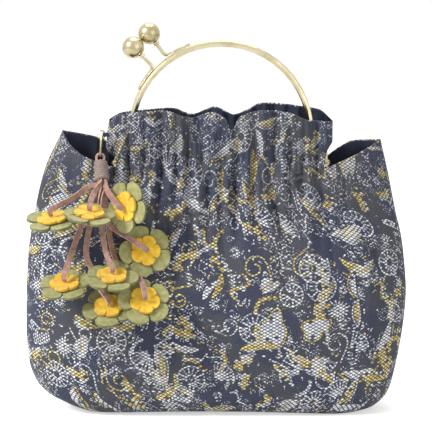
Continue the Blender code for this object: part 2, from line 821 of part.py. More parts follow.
# Each flower: name, the lace's place around the neck's lower end, the offset of the
# flower's centre from there, its facing, and the hand-chosen way of its lace, also as
# offsets from the neck's lower end
FLOWERS = (
    ("a", 3, (-0.0378, -0.0190, -0.0290), (-0.07, -0.27, 0.96),
     ((-0.0110, -0.0060, -0.0050), (-0.0220, -0.0140, -0.0120))),
    ("b", 2, (-0.0085, -0.0250, -0.0238), (0.06, -0.29, 0.95),
     ((-0.0060, -0.0150, -0.0090),)),
    ("c", 1, (0.0200, -0.0170, -0.0185), (-0.66, -0.74, 0.08),
     ((0.0050, -0.0120, -0.0070),)),
    ("d", 0, (0.0340, -0.0125, -0.0540), (0.12, -0.95, 0.28),
     ((0.0010, -0.0055, -0.0190), (0.0070, -0.0100, -0.0340), (0.0190, -0.0190, -0.0410))),
    ("e", 4, (-0.0280, -0.0230, -0.0790), (-0.06, -0.42, 0.91),
     ((-0.0085, -0.0030, -0.0160), (-0.0160, -0.0070, -0.0350), (-0.0240, -0.0150, -0.0570))),
    ("f", None, (0.0090, -0.0310, -0.0715), (0.05, -0.38, 0.92),
     ((-0.0015, -0.0035, -0.0170), (0.0000, -0.0100, -0.0350), (0.0040, -0.0230, -0.0540))),
    ("g", 5, (0.0060, -0.0300, -0.0960), (0.0, -0.55, 0.84),
     ((-0.0050, -0.0010, -0.0170), (-0.0100, -0.0070, -0.0370), (-0.0120, -0.0140, -0.0570),
      (-0.0060, -0.0170, -0.0700), (-0.0010, -0.0250, -0.0810))),
    ("h", 6, (0.0340, -0.0350, -0.0900), (0.10, -0.76, 0.64),
     ((0.0030, 0.0005, -0.0190), (0.0050, -0.0040, -0.0370), (0.0100, -0.0080, -0.0600),
      (0.0200, -0.0150, -0.0700), (0.0310, -0.0290, -0.0740))),
)
LACE_SPOTS = 7
PETAL_STEPS = 6


def neck_foot():
    return neck_top() + neck_axis() * NECK_LENGTH


def petal_outline(diameter, notch, turn):
    """A flower's outline: round lobes with a notch between each two."""
    points = []
    for step in range(PETALS * PETAL_STEPS):
        angle = math.tau * step / (PETALS * PETAL_STEPS)
        lobe = abs(math.cos(PETALS * angle / 2)) ** 0.55
        radius = diameter / 2 * (1 - notch + notch * lobe)
        points.append((radius * math.cos(angle + turn), radius * math.sin(angle + turn)))
    return points


def flower(name, centre, facing, diameter, notch, lift, turn, coat):
    """A flat cut flower of thick felt with a hole for its lace."""
    bm = bmesh.new()
    outline = petal_outline(diameter, notch, turn)
    face = bm.faces.new([bm.verts.new((x, y, lift)) for x, y in outline])
    grown = bmesh.ops.extrude_face_region(bm, geom=[face])
    top = [item for item in grown["geom"] if isinstance(item, bmesh.types.BMVert)]
    bmesh.ops.translate(bm, vec=(0, 0, PETAL_THICKNESS), verts=top)
    place = Matrix.Translation(centre) @ facing.to_track_quat("Z", "Y").to_matrix().to_4x4()
    bmesh.ops.transform(bm, matrix=place, verts=bm.verts)
    piece = finish_mesh(name, bm, coat)
    start = centre + facing * (lift - 0.002)
    profile = ((0.0, 0.0), (0.0, LACE_HOLE / 2), (0.006, LACE_HOLE / 2), (0.006, 0.0))
    combine(piece, turned(f"{name}_hole", profile, start, facing, coat, 8), "DIFFERENCE")
    return piece


def lace_way(start, between, end):
    """Points every few millimetres on a smooth curve through the lace's own points."""
    knots = [start, start + neck_axis() * LACE_LEAD, *between, end]
    points = []
    for i in range(len(knots) - 1):
        p0 = knots[max(i - 1, 0)]
        p1, p2 = knots[i], knots[i + 1]
        p3 = knots[min(i + 2, len(knots) - 1)]
        count = max(1, round((p2 - p1).length / (2.5 * LACE_DIAMETER)))
        for step in range(count):
            t = step / count
            points.append(
                0.5
                * (
                    2 * p1
                    + (p2 - p0) * t
                    + (2 * p0 - 5 * p1 + 4 * p2 - p3) * t * t
                    + (3 * p1 - p0 - 3 * p2 + p3) * t ** 3
                )
            )
    return [*points, knots[-1]]


def lace_start(spot):
    """A lace's own place in the neck's lower end: around it, or at its middle."""
    foot = neck_foot() + neck_axis() * TOUCH_GAP
    if spot is None:
        return foot
    side = Vector((1, 0, 0))
    ahead = neck_axis().cross(side).normalized()
    turn = math.tau * spot / LACE_SPOTS
    spread = NECK_DIAMETER / 2 - LACE_DIAMETER * 0.72
    return foot + side * (spread * math.cos(turn)) + ahead * (spread * math.sin(turn))


def laces_and_flowers(leather, olive, yellow):
    foot = neck_foot()
    lift = PETAL_THICKNESS + TOUCH_GAP
    pieces = []
    for i, (letter, spot, offset, facing, between) in enumerate(FLOWERS):
        facing = Vector(facing).normalized()
        centre = foot + Vector(offset)
        turn = 0.5 + 0.9 * i
        pieces.append(
            flower(
                f"flower_{letter}", centre, facing, PETAL_FLOWER, PETAL_NOTCH, 0.0, turn, olive
            )
        )
        pieces.append(
            flower(
                f"flower_centre_{letter}", centre, facing, CENTRE_FLOWER, CENTRE_NOTCH, lift,
                turn + 0.5, yellow,
            )
        )
        end = centre + facing * (lift + PETAL_THICKNESS + TOUCH_GAP + 0.0001)
        above = end + facing * LACE_APPROACH
        between = [foot + Vector(point) for point in between]
        way = lace_way(lace_start(spot), [*between, above], end)
        pieces.append(tube(f"lace_{letter}", way, LACE_DIAMETER, leather))
    return pieces


clear_scene()
handbag = new_collection("gathered_handbag")
cutters = new_collection("cutters")
cloth = new_material("jacquard_cloth", (0.035, 0.042, 0.075), 0.8)
lining_cloth = new_material("lining_cloth", (0.016, 0.020, 0.042), 0.85)
brass = new_material("antique_brass", (0.60, 0.52, 0.34), 0.32, 1.0)
suede = new_material("brown_suede", (0.30, 0.13, 0.09), 0.9)
thread = new_material("neck_thread", (0.20, 0.13, 0.11), 0.8)
olive_felt = new_material("olive_felt", (0.27, 0.30, 0.08), 0.9)
yellow_felt = new_material("yellow_felt", (0.83, 0.50, 0.02), 0.9)

bag_shell(cloth)
lining(lining_cloth)
for place, word in ((-1, "left"), (1, "right")):
    hinge_pin(word, place, brass)

front_pieces = [
    hoop("front", -1, FOOT_SPREAD, brass),
    *rod_and_nuts("front", -1, FOOT_SPREAD, brass),
    clasp_stem("front", -1, 1, brass),
    clasp_ball("front", -1, 1, brass),
    heading("front", -1, FRONT_EDGE, FRONT_HEADING_RISE, FRONT_SEED, cloth),
    charm_tab(cloth),
    charm_ring(brass),
]
rear_pieces = [
    hoop("rear", 1, FOOT_SPREAD + FOOT_STEP, brass),
    *rod_and_nuts("rear", 1, FOOT_SPREAD + FOOT_STEP, brass),
    clasp_stem("rear", 1, -1, brass),
    clasp_ball("rear", 1, -1, brass),
    heading("rear", 1, REAR_EDGE, REAR_HEADING_RISE, REAR_SEED, cloth),
]
clasp_pieces = [charm_clasp(brass)]
charm_pieces = [
    charm_loop(suede),
    charm_neck(thread),
    *laces_and_flowers(suede, olive_felt, yellow_felt),
]
hinge_line = (FRAME_OFFSET, 0.0, PIVOT_HEIGHT)
front_pivot = pivot("front_frame_pivot", hinge_line, front_pieces)
pivot("rear_frame_pivot", hinge_line, rear_pieces)
clasp_pivot = pivot("charm_clasp_pivot", clasp_top(), clasp_pieces, front_pivot)
pivot("charm_pivot", clasp_foot(), charm_pieces, clasp_pivot)
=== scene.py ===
import math

import bmesh
import bpy
import numpy as np
from mathutils import Matrix, Vector


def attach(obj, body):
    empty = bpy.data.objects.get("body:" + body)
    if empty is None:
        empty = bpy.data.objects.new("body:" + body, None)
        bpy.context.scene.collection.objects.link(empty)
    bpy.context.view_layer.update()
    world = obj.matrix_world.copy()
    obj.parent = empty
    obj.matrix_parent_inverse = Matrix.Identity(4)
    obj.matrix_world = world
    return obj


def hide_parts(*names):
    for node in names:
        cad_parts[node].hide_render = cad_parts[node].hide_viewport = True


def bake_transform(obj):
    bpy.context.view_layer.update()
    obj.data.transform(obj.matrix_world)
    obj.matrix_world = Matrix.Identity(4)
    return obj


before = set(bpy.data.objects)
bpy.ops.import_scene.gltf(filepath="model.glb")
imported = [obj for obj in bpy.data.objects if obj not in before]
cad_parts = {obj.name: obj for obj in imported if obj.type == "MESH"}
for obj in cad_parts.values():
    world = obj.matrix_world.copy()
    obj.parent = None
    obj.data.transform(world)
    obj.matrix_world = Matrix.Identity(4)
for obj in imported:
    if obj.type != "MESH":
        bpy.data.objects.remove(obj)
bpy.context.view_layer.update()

# The camera stands a little above the bag's middle, far off, as for a shop's picture.
# A soft key light from the upper left brings out the folds, with a weak fill from the
# right and a pale world. Floor and backdrop are plain, and the camera sees them white.

CAMERA_PLACE = (0, -1.5844, 0.3777)
CAMERA_TILT = 82
LENS_LENGTH = 166.67
LAMPS = (
    ("key_light", (-1.5, -0.9, 1.35), 0.6, 38),
    ("fill_light", (1.3, -1.4, 0.7), 1.4, 5),
    ("top_light", (0.0, 0.5, 1.7), 1.2, 12),
)
LAMPS_AIM = Vector((0, 0, 0.12))
WORLD_STRENGTH = 0.48
PAPER_GLOW = 0.55
PAPER_DROP = 0.0005


def tone(code):
    """A colour written as an sRGB hex value, turned to linear."""
    parts = [int(code[i:i + 2], 16) / 255 for i in (1, 3, 5)]
    return (*(p / 12.92 if p <= 0.04045 else ((p + 0.055) / 1.055) ** 2.4 for p in parts), 1.0)


def add(tree, kind, inputs=None, **settings):
    """Adds one node to a tree, with its settings, its values and its links."""
    made = tree.nodes.new("ShaderNode" + kind)
    for key, value in settings.items():
        setattr(made, key, value)
    for key, value in (inputs or {}).items():
        if isinstance(value, bpy.types.NodeSocket):
            tree.links.new(value, made.inputs[key])
        else:
            made.inputs[key].default_value = value
    return made.outputs


def new_surface(name, colour, roughness, **values):
    """A material with its tree and its shader, whose constant values are set on it."""
    made = bpy.data.materials.new(name)
    made.use_nodes = True
    shader = made.node_tree.nodes["Principled BSDF"]
    shader.inputs["Base Color"].default_value = tone(colour)
    shader.inputs["Roughness"].default_value = roughness
    for key, value in values.items():
        shader.inputs[key.replace("_", " ").title()].default_value = value
    return made, made.node_tree, shader


def clouded(tree, shader, scale, detail, low, high, one, other):
    """Noise over a piece, which mixes two colours into its base colour."""
    at = add(tree, "TexCoord")["Object"]
    noise = add(tree, "TexNoise", {"Vector": at, "Scale": scale, "Detail": detail})["Fac"]
    share = add(tree, "MapRange", {"Value": noise, "From Min": low, "From Max": high})[0]
    mixed = add(tree, "Mix", {0: share, 6: tone(one), 7: tone(other)}, data_type="RGBA")[2]
    tree.links.new(mixed, shader.inputs["Base Color"])
    return noise


studio = bpy.context.scene
studio.view_settings.view_transform = "Standard"
lens = bpy.data.cameras.new("studio_camera")
lens.lens = LENS_LENGTH
camera = bpy.data.objects.new("studio_camera", lens)
camera.location = CAMERA_PLACE
camera.rotation_euler = (math.radians(CAMERA_TILT), 0, 0)
studio.collection.objects.link(camera)
studio.camera = camera

for name, place, size, watts in LAMPS:
    lamp = bpy.data.lights.new(name, "AREA")
    lamp.size = size
    lamp.energy = watts
    holder = bpy.data.objects.new(name, lamp)
    holder.location = place
    holder.rotation_euler = (LAMPS_AIM - Vector(place)).to_track_quat("-Z", "Y").to_euler()
    studio.collection.objects.link(holder)

world = bpy.data.worlds.new("pale_studio")
studio.world = world
world.use_nodes = True
sky = world.node_tree
sky.nodes.clear()
white = tone("#ffffff")
paths = add(sky, "LightPath")
seen = add(
    sky, "Math", {0: paths["Is Camera Ray"], 1: paths["Is Glossy Ray"]}, operation="MAXIMUM"
)
seen = add(sky, "Math", {0: seen[0], 1: paths["Is Transmission Ray"]}, operation="MAXIMUM")
around = add(sky, "Background", {"Color": white, "Strength": WORLD_STRENGTH})
behind = add(sky, "Background", {"Color": white, "Strength": 1.0})
mixed = add(sky, "MixShader", {0: seen[0], 1: around[0], 2: behind[0]})
add(sky, "OutputWorld", {"Surface": mixed[0]})

bm = bmesh.new()
bmesh.ops.create_grid(bm, x_segments=1, y_segments=1, size=3.0)
bmesh.ops.translate(bm, vec=(0, 0, -PAPER_DROP), verts=bm.verts)
sheet = bpy.data.meshes.new("studio_floor")
bm.to_mesh(sheet)
bm.free()
floor = bpy.data.objects.new("studio_floor", sheet)
studio.collection.objects.link(floor)
paper, tree, shader = new_surface("matte_white_paper", "#f4f4f4", 0.9)
paths = add(tree, "LightPath")
glow = add(tree, "Emission", {"Color": white, "Strength": PAPER_GLOW})
lit = add(tree, "AddShader", {0: shader.outputs[0], 1: glow[0]})
shown = add(tree, "MixShader", {0: paths["Is Camera Ray"], 1: shader.outputs[0], 2: lit[0]})
tree.links.new(shown[0], tree.nodes["Material Output"].inputs["Surface"])
sheet.materials.append(paper)

# The charm's laces are flat thongs of soft suede, 4.5 mm wide, that leave the bound neck
# and end in the middle of a flower. Each is swept along one smooth curve, and the two
# layers of a flower are cut from thick suede and threaded on its end.

CHARM_FOOT = Vector((-0.08918, -0.03003, 0.18742))
NECK_WAY = Vector((0.0998, -0.5273, -0.8438))
LACE_WIDE = 0.0045
LACE_THICK = 0.0013
LACE_STEP = 0.0018
LACES_ROUND_THE_NECK = 7
LACES_FROM_NECK_AXIS = 0.0033
LOBES = 5
ROUND_THE_FLOWER = 120
FLOWER_RINGS = (1.0, 0.94, 0.84, 0.72, 0.58, 0.44, 0.30, 0.15)
LOBE_ROUNDNESS = 0.24
SOFT_EDGE = 0.00035
MIDDLE_LIFT = 0.0024
LACE_END_LIFT = 0.0038

# Each flower's letter, its lace's spot round the neck, or None for the one in its middle,
# its centre from the neck's foot, the way it faces, and the points its lace goes through
FLOWERS = (
    ("a", 3, (-0.0378, -0.0190, -0.0290), (-0.07, -0.27, 0.96),
     ((-0.0110, -0.0060, -0.0050), (-0.0220, -0.0140, -0.0120))),
    ("b", 2, (-0.0085, -0.0250, -0.0238), (0.06, -0.29, 0.95),
     ((-0.0060, -0.0150, -0.0090),)),
    ("c", 1, (0.0200, -0.0170, -0.0185), (-0.66, -0.74, 0.08),
     ((0.0050, -0.0120, -0.0070),)),
    ("d", 0, (0.0340, -0.0125, -0.0540), (0.12, -0.95, 0.28),
     ((0.0010, -0.0055, -0.0190), (0.0070, -0.0100, -0.0340), (0.0190, -0.0190, -0.0410))),
    ("e", 4, (-0.0280, -0.0230, -0.0790), (-0.06, -0.42, 0.91),
     ((-0.0085, -0.0030, -0.0160), (-0.0160, -0.0070, -0.0350), (-0.0240, -0.0150, -0.0570))),
    ("f", None, (0.0090, -0.0310, -0.0715), (0.05, -0.38, 0.92),
     ((-0.0015, -0.0035, -0.0170), (0.0000, -0.0100, -0.0350), (0.0040, -0.0230, -0.0540))),
    ("g", 5, (0.0060, -0.0300, -0.0960), (0.0, -0.55, 0.84),
     ((-0.0050, -0.0010, -0.0170), (-0.0100, -0.0070, -0.0370), (-0.0120, -0.0140, -0.0570),
      (-0.0060, -0.0170, -0.0700), (-0.0010, -0.0250, -0.0810))),
    ("h", 6, (0.0340, -0.0350, -0.0900), (0.10, -0.76, 0.64),
     ((0.0030, 0.0005, -0.0190), (0.0050, -0.0040, -0.0370), (0.0100, -0.0080, -0.0600),
      (0.0200, -0.0150, -0.0700), (0.0310, -0.0290, -0.0740))),
)


def suede(name, colour, dark, speck):
    """Brushed split leather: matte, with darker scuffs and a short nap that catches light.

    The nap's real fibres are finer than the picture shows, so they are drawn 0.5 mm apart.
    """
    made, tree, shader = new_surface(name, colour, 0.92, sheen_weight=0.25, sheen_roughness=0.6)
    at = add(tree, "TexCoord")["Object"]
    clouds = add(tree, "TexNoise", {"Vector": at, "Scale": 260.0, "Detail": 4.0})
    nap = add(tree, "TexNoise", {"Vector": at, "Scale": 1900.0, "Detail": 2.0})
    share = add(tree, "MapRange", {"Value": clouds["Fac"], "From Min": 0.35, "From Max": 0.68})
    mixed = add(
        tree, "Mix", {0: share[0], 6: tone(dark), 7: tone(colour)}, data_type="RGBA"
    )
    grain = add(
        tree, "MapRange",
        {"Value": nap["Fac"], "From Min": 0.3, "From Max": 0.7, "To Max": speck},
    )
    mottled = add(tree, "Mix", {0: grain[0], 6: mixed[2], 7: tone(dark)}, data_type="RGBA")
    tree.links.new(mottled[2], shader.inputs["Base Color"])
    bump = add(tree, "Bump", {"Strength": 0.5, "Distance": 0.0003, "Height": nap["Fac"]})
    tree.links.new(bump[0], shader.inputs["Normal"])
    return made


def to_object(name, bm, coats, smooth_angle=50):
    """Makes a bmesh an object with its materials, smooth but for its sharp edges."""
    mesh = bpy.data.meshes.new(name)
    bm.to_mesh(mesh)
    bm.free()
    mesh.shade_smooth()
    mesh.set_sharp_from_angle(angle=math.radians(smooth_angle))
    for coat in coats:
        mesh.materials.append(coat)
    made = bpy.data.objects.new(name, mesh)
    studio.collection.objects.link(made)
    return made


def curve_through(knots, spacing):
    """Points about one spacing apart on a smooth curve through the knots."""
    points = []
    for i in range(len(knots) - 1):
        p0, p1 = knots[max(i - 1, 0)], knots[i]
        p2, p3 = knots[i + 1], knots[min(i + 2, len(knots) - 1)]
        count = max(1, round((p2 - p1).length / spacing))
        for step in range(count):
            t = step / count
            points.append(
                0.5 * (
                    2 * p1 + (p2 - p0) * t + (2 * p0 - 5 * p1 + 4 * p2 - p3) * t * t
                    + (3 * p1 - p0 - 3 * p2 + p3) * t ** 3
                )
            )
    return [*points, knots[-1]]


def sweep(name, way, section, coats, ahead, turn, edges=()):
    """Extrudes a closed section, (across, ahead) points, along a way.

    The sides that start at the section's points in edges take the second material.
    """
    bm = bmesh.new()
    rings = []
    spots = {}
    count = len(way)
    for i, point in enumerate(way):
        along = (way[min(i + 1, count - 1)] - way[max(i - 1, 0)]).normalized()
        across = along.cross(ahead).normalized()
        front = across.cross(along)
        angle = turn(i / (count - 1))
        c, s = math.cos(angle), math.sin(angle)
        ring = []
        for k, (a, b) in enumerate(section(i / (count - 1))):
            ring.append(bm.verts.new(point + across * (a * c - b * s) + front * (a * s + b * c)))
            spots[ring[-1]] = k
        rings.append([bm.edges.new((ring[k - 1], ring[k])) for k in range(len(ring))])
    for low, high in zip(rings[:-1], rings[1:]):
        for face in bmesh.ops.bridge_loops(bm, edges=low + high)["faces"]:
            pair = sorted({spots[vert] for vert in face.verts})
            start = pair[1] if pair == [0, len(low) - 1] else pair[0]
            face.material_index = int(start in edges)
    bmesh.ops.contextual_create(bm, geom=rings[0])
    bmesh.ops.contextual_create(bm, geom=rings[-1])
    bmesh.ops.recalc_face_normals(bm, faces=bm.faces)
    return to_object(name, bm, coats)


def lace_section(share):
    """A flat thong with rounded edges, pinched where it is tied and where it is knotted."""
    wide = LACE_WIDE / 2 * (0.60 + 0.40 * min(1.0, share * 6, (1 - share) * 9 + 0.3))
    thick = LACE_THICK / 2
    return (
        (wide, 0.0), (wide * 0.90, thick), (0.0, thick * 1.1), (-wide * 0.90, thick),
        (-wide, 0.0), (-wide * 0.90, -thick), (0.0, -thick * 0.9), (wide * 0.90, -thick),
    )


def cut_flower(name, centre, facing, turn, across, thick, notch, cup, coat, edge):
    """Five round lobes with slits between them, cut from thick suede and a little cupped."""
    bm = bmesh.new()
    rim = bmesh.ops.create_circle(bm, segments=ROUND_THE_FLOWER, radius=1.0)["verts"]
    rings = [rim]
    edges = list(bm.edges)
    for share in FLOWER_RINGS[1:]:
        grown = bmesh.ops.extrude_edge_only(bm, edges=edges)["geom"]
        edges = [g for g in grown if isinstance(g, bmesh.types.BMEdge)]
        verts = [g for g in grown if isinstance(g, bmesh.types.BMVert)]
        for vert in verts:
            vert.co = vert.co.normalized() * share
        rings.append(verts)
    bmesh.ops.contextual_create(bm, geom=edges)
    for share, ring in zip(FLOWER_RINGS, rings):
        for vert in ring:
            angle = math.atan2(vert.co.y, vert.co.x)
            lobe = abs(math.cos(LOBES / 2 * angle)) ** LOBE_ROUNDNESS
            reach = across / 2 * (1 - notch * share * (1 - lobe))
            petal = math.floor((angle + math.pi / LOBES) / (math.tau / LOBES)) % LOBES
            lift = cup * share ** 2 * (0.55 + 0.55 * math.sin(2.1 * petal + 7 * turn))
            crown = 0.12 * cup * (1 - share) - 0.30 * cup * share * (1 - lobe)
            out = reach * share
            vert.co = Vector((out * math.cos(angle), out * math.sin(angle), lift + crown))
    bmesh.ops.recalc_face_normals(bm, faces=bm.faces)
    place = (
        Matrix.Translation(centre)
        @ facing.to_track_quat("Z", "Y").to_matrix().to_4x4()
        @ Matrix.Rotation(turn, 4, "Z")
    )
    bmesh.ops.transform(bm, matrix=place, verts=bm.verts)
    made = to_object(name, bm, [coat, edge])
    wall = made.modifiers.new("thickness", "SOLIDIFY")
    wall.thickness = thick
    wall.offset = 1.0
    wall.material_offset_rim = 1
    soft = made.modifiers.new("soft_edge", "BEVEL")
    soft.width = SOFT_EDGE
    soft.segments = 2
    soft.limit_method = "ANGLE"
    soft.angle_limit = math.radians(50)
    soft.material = -1
    return made


lace_suede = suede("rose_brown_suede", "#b98f80", "#8a675d", 0.30)
lace_edge = suede("pink_cut_edge", "#dbb3a6", "#b98f82", 0.25)
olive_suede = suede("olive_suede", "#adab74", "#8d8c52", 0.22)
olive_edge = suede("olive_cut_edge", "#85854a", "#5f6132", 0.35)
yellow_suede = suede("yellow_suede", "#f6d23e", "#e3ab1c", 0.22)
yellow_edge = suede("yellow_cut_edge", "#efc22c", "#c8921a", 0.25)

# Each layer's size across, its thickness, how deep its slits are, its cup and its leather
PETALS_CUT = (0.041, 0.0019, 0.50, 0.0026, olive_suede, olive_edge)
MIDDLE_CUT = (0.0235, 0.0018, 0.42, 0.0014, yellow_suede, yellow_edge)

for i, (letter, spot, offset, facing, between) in enumerate(FLOWERS):
    facing = Vector(facing).normalized()
    centre = CHARM_FOOT + Vector(offset)
    turn = 0.5 + 0.9 * i
    petals = cut_flower(f"petals_{letter}", centre, facing, turn, *PETALS_CUT)
    middle = cut_flower(
        f"middle_{letter}", centre + facing * MIDDLE_LIFT, facing, turn + 0.5, *MIDDLE_CUT
    )
    foot = CHARM_FOOT + NECK_WAY * 0.0003
    if spot is not None:
        side = Vector((1, 0, 0))
        front = NECK_WAY.cross(side).normalized()
        around = math.tau * spot / LACES_ROUND_THE_NECK
        foot = foot + side * (LACES_FROM_NECK_AXIS * math.cos(around))
        foot = foot + front * (LACES_FROM_NECK_AXIS * math.sin(around))
    end = centre + facing * LACE_END_LIFT
    knots = [foot, foot + NECK_WAY * 0.003]
    knots += [CHARM_FOOT + Vector(point) for point in between]
    knots += [end + facing * 0.005, end]
    way = curve_through(knots, LACE_STEP)
    # it leaves the neck on edge, to one side or the other, and turns flat on its way
    lace = sweep(
        f"thong_{letter}", way, lace_section, [lace_suede, lace_edge], Vector((0.15, -1.0, 0.1)),
        lambda share, i=i: (
            1.35 * (1 if i % 2 else -1) * max(0.0, 1 - share / 0.45) ** 1.4
            + 0.6 * share * math.sin(4.0 * share + 1.7 * i)
        ),
        (0, 3, 4, 7),
    )
    for part, node, slot in (
        (petals, "flower", "olive_leather"),
        (middle, "flower_centre", "yellow_leather"),
        (lace, "lace", "suede"),
    ):
        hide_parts(f"{node}_{letter}")
        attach(part, "charm")

# The neck is a bundle of the laces' upper ends, bound with close turns of greyish waxed
# thread between two cut edges. Above it one lace is bent into an eye over the clasp.

NECK_LONG = 0.0165
NECK_TURNS = 10
POINTS_A_TURN = 6
NECK_ROUND = 40

bound, tree, shader = new_surface("waxed_binding_thread", "#8b7a70", 0.7)
clouded(tree, shader, 900.0, 3.0, 0.35, 0.65, "#7d6d65", "#9c8c82")

bm = bmesh.new()
profile = [(0.0, 0.0), (0.0038, 0.0), (0.0046, 0.0005)]
for place in range(NECK_TURNS * POINTS_A_TURN + 1):
    share = place / (NECK_TURNS * POINTS_A_TURN)
    thread = 0.00042 * abs(math.sin(share * NECK_TURNS * math.pi)) ** 0.7
    profile.append((0.0049 + 0.0005 * share + thread, 0.0006 + (NECK_LONG - 0.0012) * share))
profile += [(0.0050, NECK_LONG), (0.0, NECK_LONG)]
points = [bm.verts.new((radius, 0.0, along)) for radius, along in profile]
edges = [bm.edges.new(pair) for pair in zip(points[:-1], points[1:])]
bmesh.ops.spin(
    bm, geom=points + edges, axis=(0, 0, 1), cent=(0, 0, 0), angle=math.tau, steps=NECK_ROUND,
    use_merge=True,
)
bmesh.ops.remove_doubles(bm, verts=bm.verts, dist=1e-6)
bmesh.ops.recalc_face_normals(bm, faces=bm.faces)
turned = NECK_WAY.to_track_quat("Z", "Y").to_matrix().to_4x4()
place = Matrix.Translation(CHARM_FOOT - NECK_WAY * NECK_LONG) @ turned
bmesh.ops.transform(bm, matrix=place, verts=bm.verts)
neck = to_object("bound_neck", bm, [bound])
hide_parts("charm_neck")
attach(neck, "charm")


def dress(name, coat):
    """Gives a piece that the frame brings its finish."""
    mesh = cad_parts[name].data
    mesh.materials.clear()
    mesh.materials.append(coat)
    return mesh


dress("charm_loop", lace_edge).shade_smooth()

# The bag's cloth is a jacquard: a charcoal and navy ground with pale and gold yarns that
# float over it as leaves, bursts, fans and scrolls, held by a net of binding yarns. The
# motifs are drawn in millimetres on the flat cloth and strewn over each side of the bag.

SEEDS = {False: 11, True: 29}
CLOTH_LOW = (-225, -60)
CLOTH_HIGH = (225, 262)
MOTIF_REACH = 6.0
MOTIF_MARGIN = 2.5


def arc(radius, start, end, count, centre=(0.0, 0.0)):
    """Points along a part of a circle, between two angles."""
    turn = np.linspace(start, end, count)
    return np.stack([centre[0] + radius * np.cos(turn), centre[1] + radius * np.sin(turn)], 1)


def spoke(near, far, turn):
    """A straight line away from the middle, from one distance to another."""
    way = np.array([math.cos(turn), math.sin(turn)])
    return np.stack([near * way, far * way])


def burst(dice):
    """A small ring with rays of uneven length."""
    rays = dice.integers(11, 17)
    lines = [arc(1.6, 0, math.tau, 12)]
    for k in range(rays):
        lines.append(spoke(2.8, dice.uniform(6, 10), math.tau * k / rays))
    return [("pale", line, False) for line in lines]


def wheel(dice):
    """A rim and a hub with fourteen short spokes between them."""
    size = dice.uniform(9, 13)
    lines = [arc(size, 0, math.tau, 40), arc(size * 0.35, 0, math.tau, 16)]
    lines += [spoke(size * 0.45, size * 0.85, math.tau * k / 14) for k in range(14)]
    return [("pale", line, False) for line in lines]


def fan(dice):
    """Eight ribs under a curved edge."""
    size = dice.uniform(12, 18)
    lines = [spoke(4, size, math.radians(15 + 90 * k / 7)) for k in range(8)]
    lines.append(arc(size + 1.5, math.radians(8), math.radians(112), 20))
    hub = ("gold" if dice.random() < 0.5 else "pale", arc(3.2, 0, math.radians(120), 9), False)
    return [*(("pale", line, False) for line in lines), hub]


def leaf(dice):
    """A curved leaf, half of the time with a line round it."""
    length = dice.uniform(9, 15)
    bend = dice.uniform(0.2, 0.5)
    t = np.linspace(0, 1, 18)
    wide = length * 0.22 * np.sin(np.pi * t ** 0.8)
    spine = bend * length * 0.5 * np.sin(np.pi * t)
    along = length * (t - 0.5) * 2
    upper, lower = np.stack([along, spine + wide], 1), np.stack([along, spine - wide], 1)
    rim = np.concatenate([upper, lower[::-1]])
    colour = "gold" if dice.random() < 0.50 else "pale"
    other = "pale" if colour == "gold" else "gold"
    shapes = [(colour, rim, True)]
    if dice.random() < 0.5:
        shapes.append((other, rim * 1.25 + [0, 1.0], False))
    return shapes


def hook(dice):
    """A spiral with a straight tail."""
    size = dice.uniform(6, 11)
    t = np.linspace(0, 1, 26)
    radius = size * (1 - 0.75 * t)
    turn = t * math.pi * 2.4
    line = np.stack([radius * np.cos(turn), radius * np.sin(turn)], 1)
    tail = np.stack([np.full(6, size), np.linspace(-size * 1.2, 0, 6)], 1)
    colour = "gold" if dice.random() < 0.4 else "pale"
    return [(colour, np.concatenate([tail, line]), False)]


def comb(dice):
    """A bowed back with a row of slanting teeth."""
    teeth = dice.integers(6, 11)
    high = dice.uniform(4, 8)
    xs = (np.arange(teeth) - teeth / 2) * 2.3
    shapes = [("pale", np.stack([xs, 0.024 * xs ** 2], 1), False)]
    for x in xs:
        tooth = np.array([[x, 0.024 * x * x], [x + 0.8, 0.024 * x * x + high]])
        shapes.append(("pale", tooth, False))
    return shapes


def meander(dice):
    """A long line that winds to and fro."""
    t = np.linspace(0, 1, 60)
    length = dice.uniform(24, 40)
    wave = dice.uniform(2.0, 3.6)
    x = length * (t - 0.5) + wave * 0.7 * np.sin(t * 28)
    y = wave * np.sin(t * 14) + 0.25 * length * np.sin(t * 3 + dice.random() * 3)
    return [("pale" if dice.random() < 0.8 else "gold", np.stack([x, y], 1), False)]


def beads(dice):
    """A bowed row of dots and rings."""
    count = dice.integers(4, 8)
    colour = "gold" if dice.random() < 0.45 else "pale"
    shapes = []
    for k in range(count):
        x = (k - count / 2) * 3.1
        y = 0.06 * x * x
        shapes.append((colour, arc(1.2, 0, math.tau, 9, (x, y)), k % 2 == 0))
    return shapes


def scroll(dice):
    """A double gold line in an S, with pale curls on it."""
    t = np.linspace(0, 1, 40)
    size = dice.uniform(8, 14)
    s_curve = np.stack([size * 1.6 * (t - 0.5), size * 0.45 * np.sin(t * math.tau)], 1)
    shapes = [("gold", s_curve, False), ("gold", s_curve + [0.5, 1.4], False)]
    for k in (8, 20, 32):
        shapes.append(("pale", arc(1.8, 0, math.pi * 1.6, 12, s_curve[k] + [0, 3.4]), False))
    return shapes


def patch(dice):
    """An uneven pale patch with a gold line round it."""
    t = np.linspace(0, math.tau, 30)
    size = dice.uniform(5, 8)
    radius = size * (1 + 0.18 * np.sin(3 * t + dice.random() * 6) + 0.1 * np.sin(5 * t))
    rim = np.stack([radius * 1.4 * np.cos(t), radius * np.sin(t)], 1)
    return [("pale", rim, True), ("gold", rim * 1.22, False)]


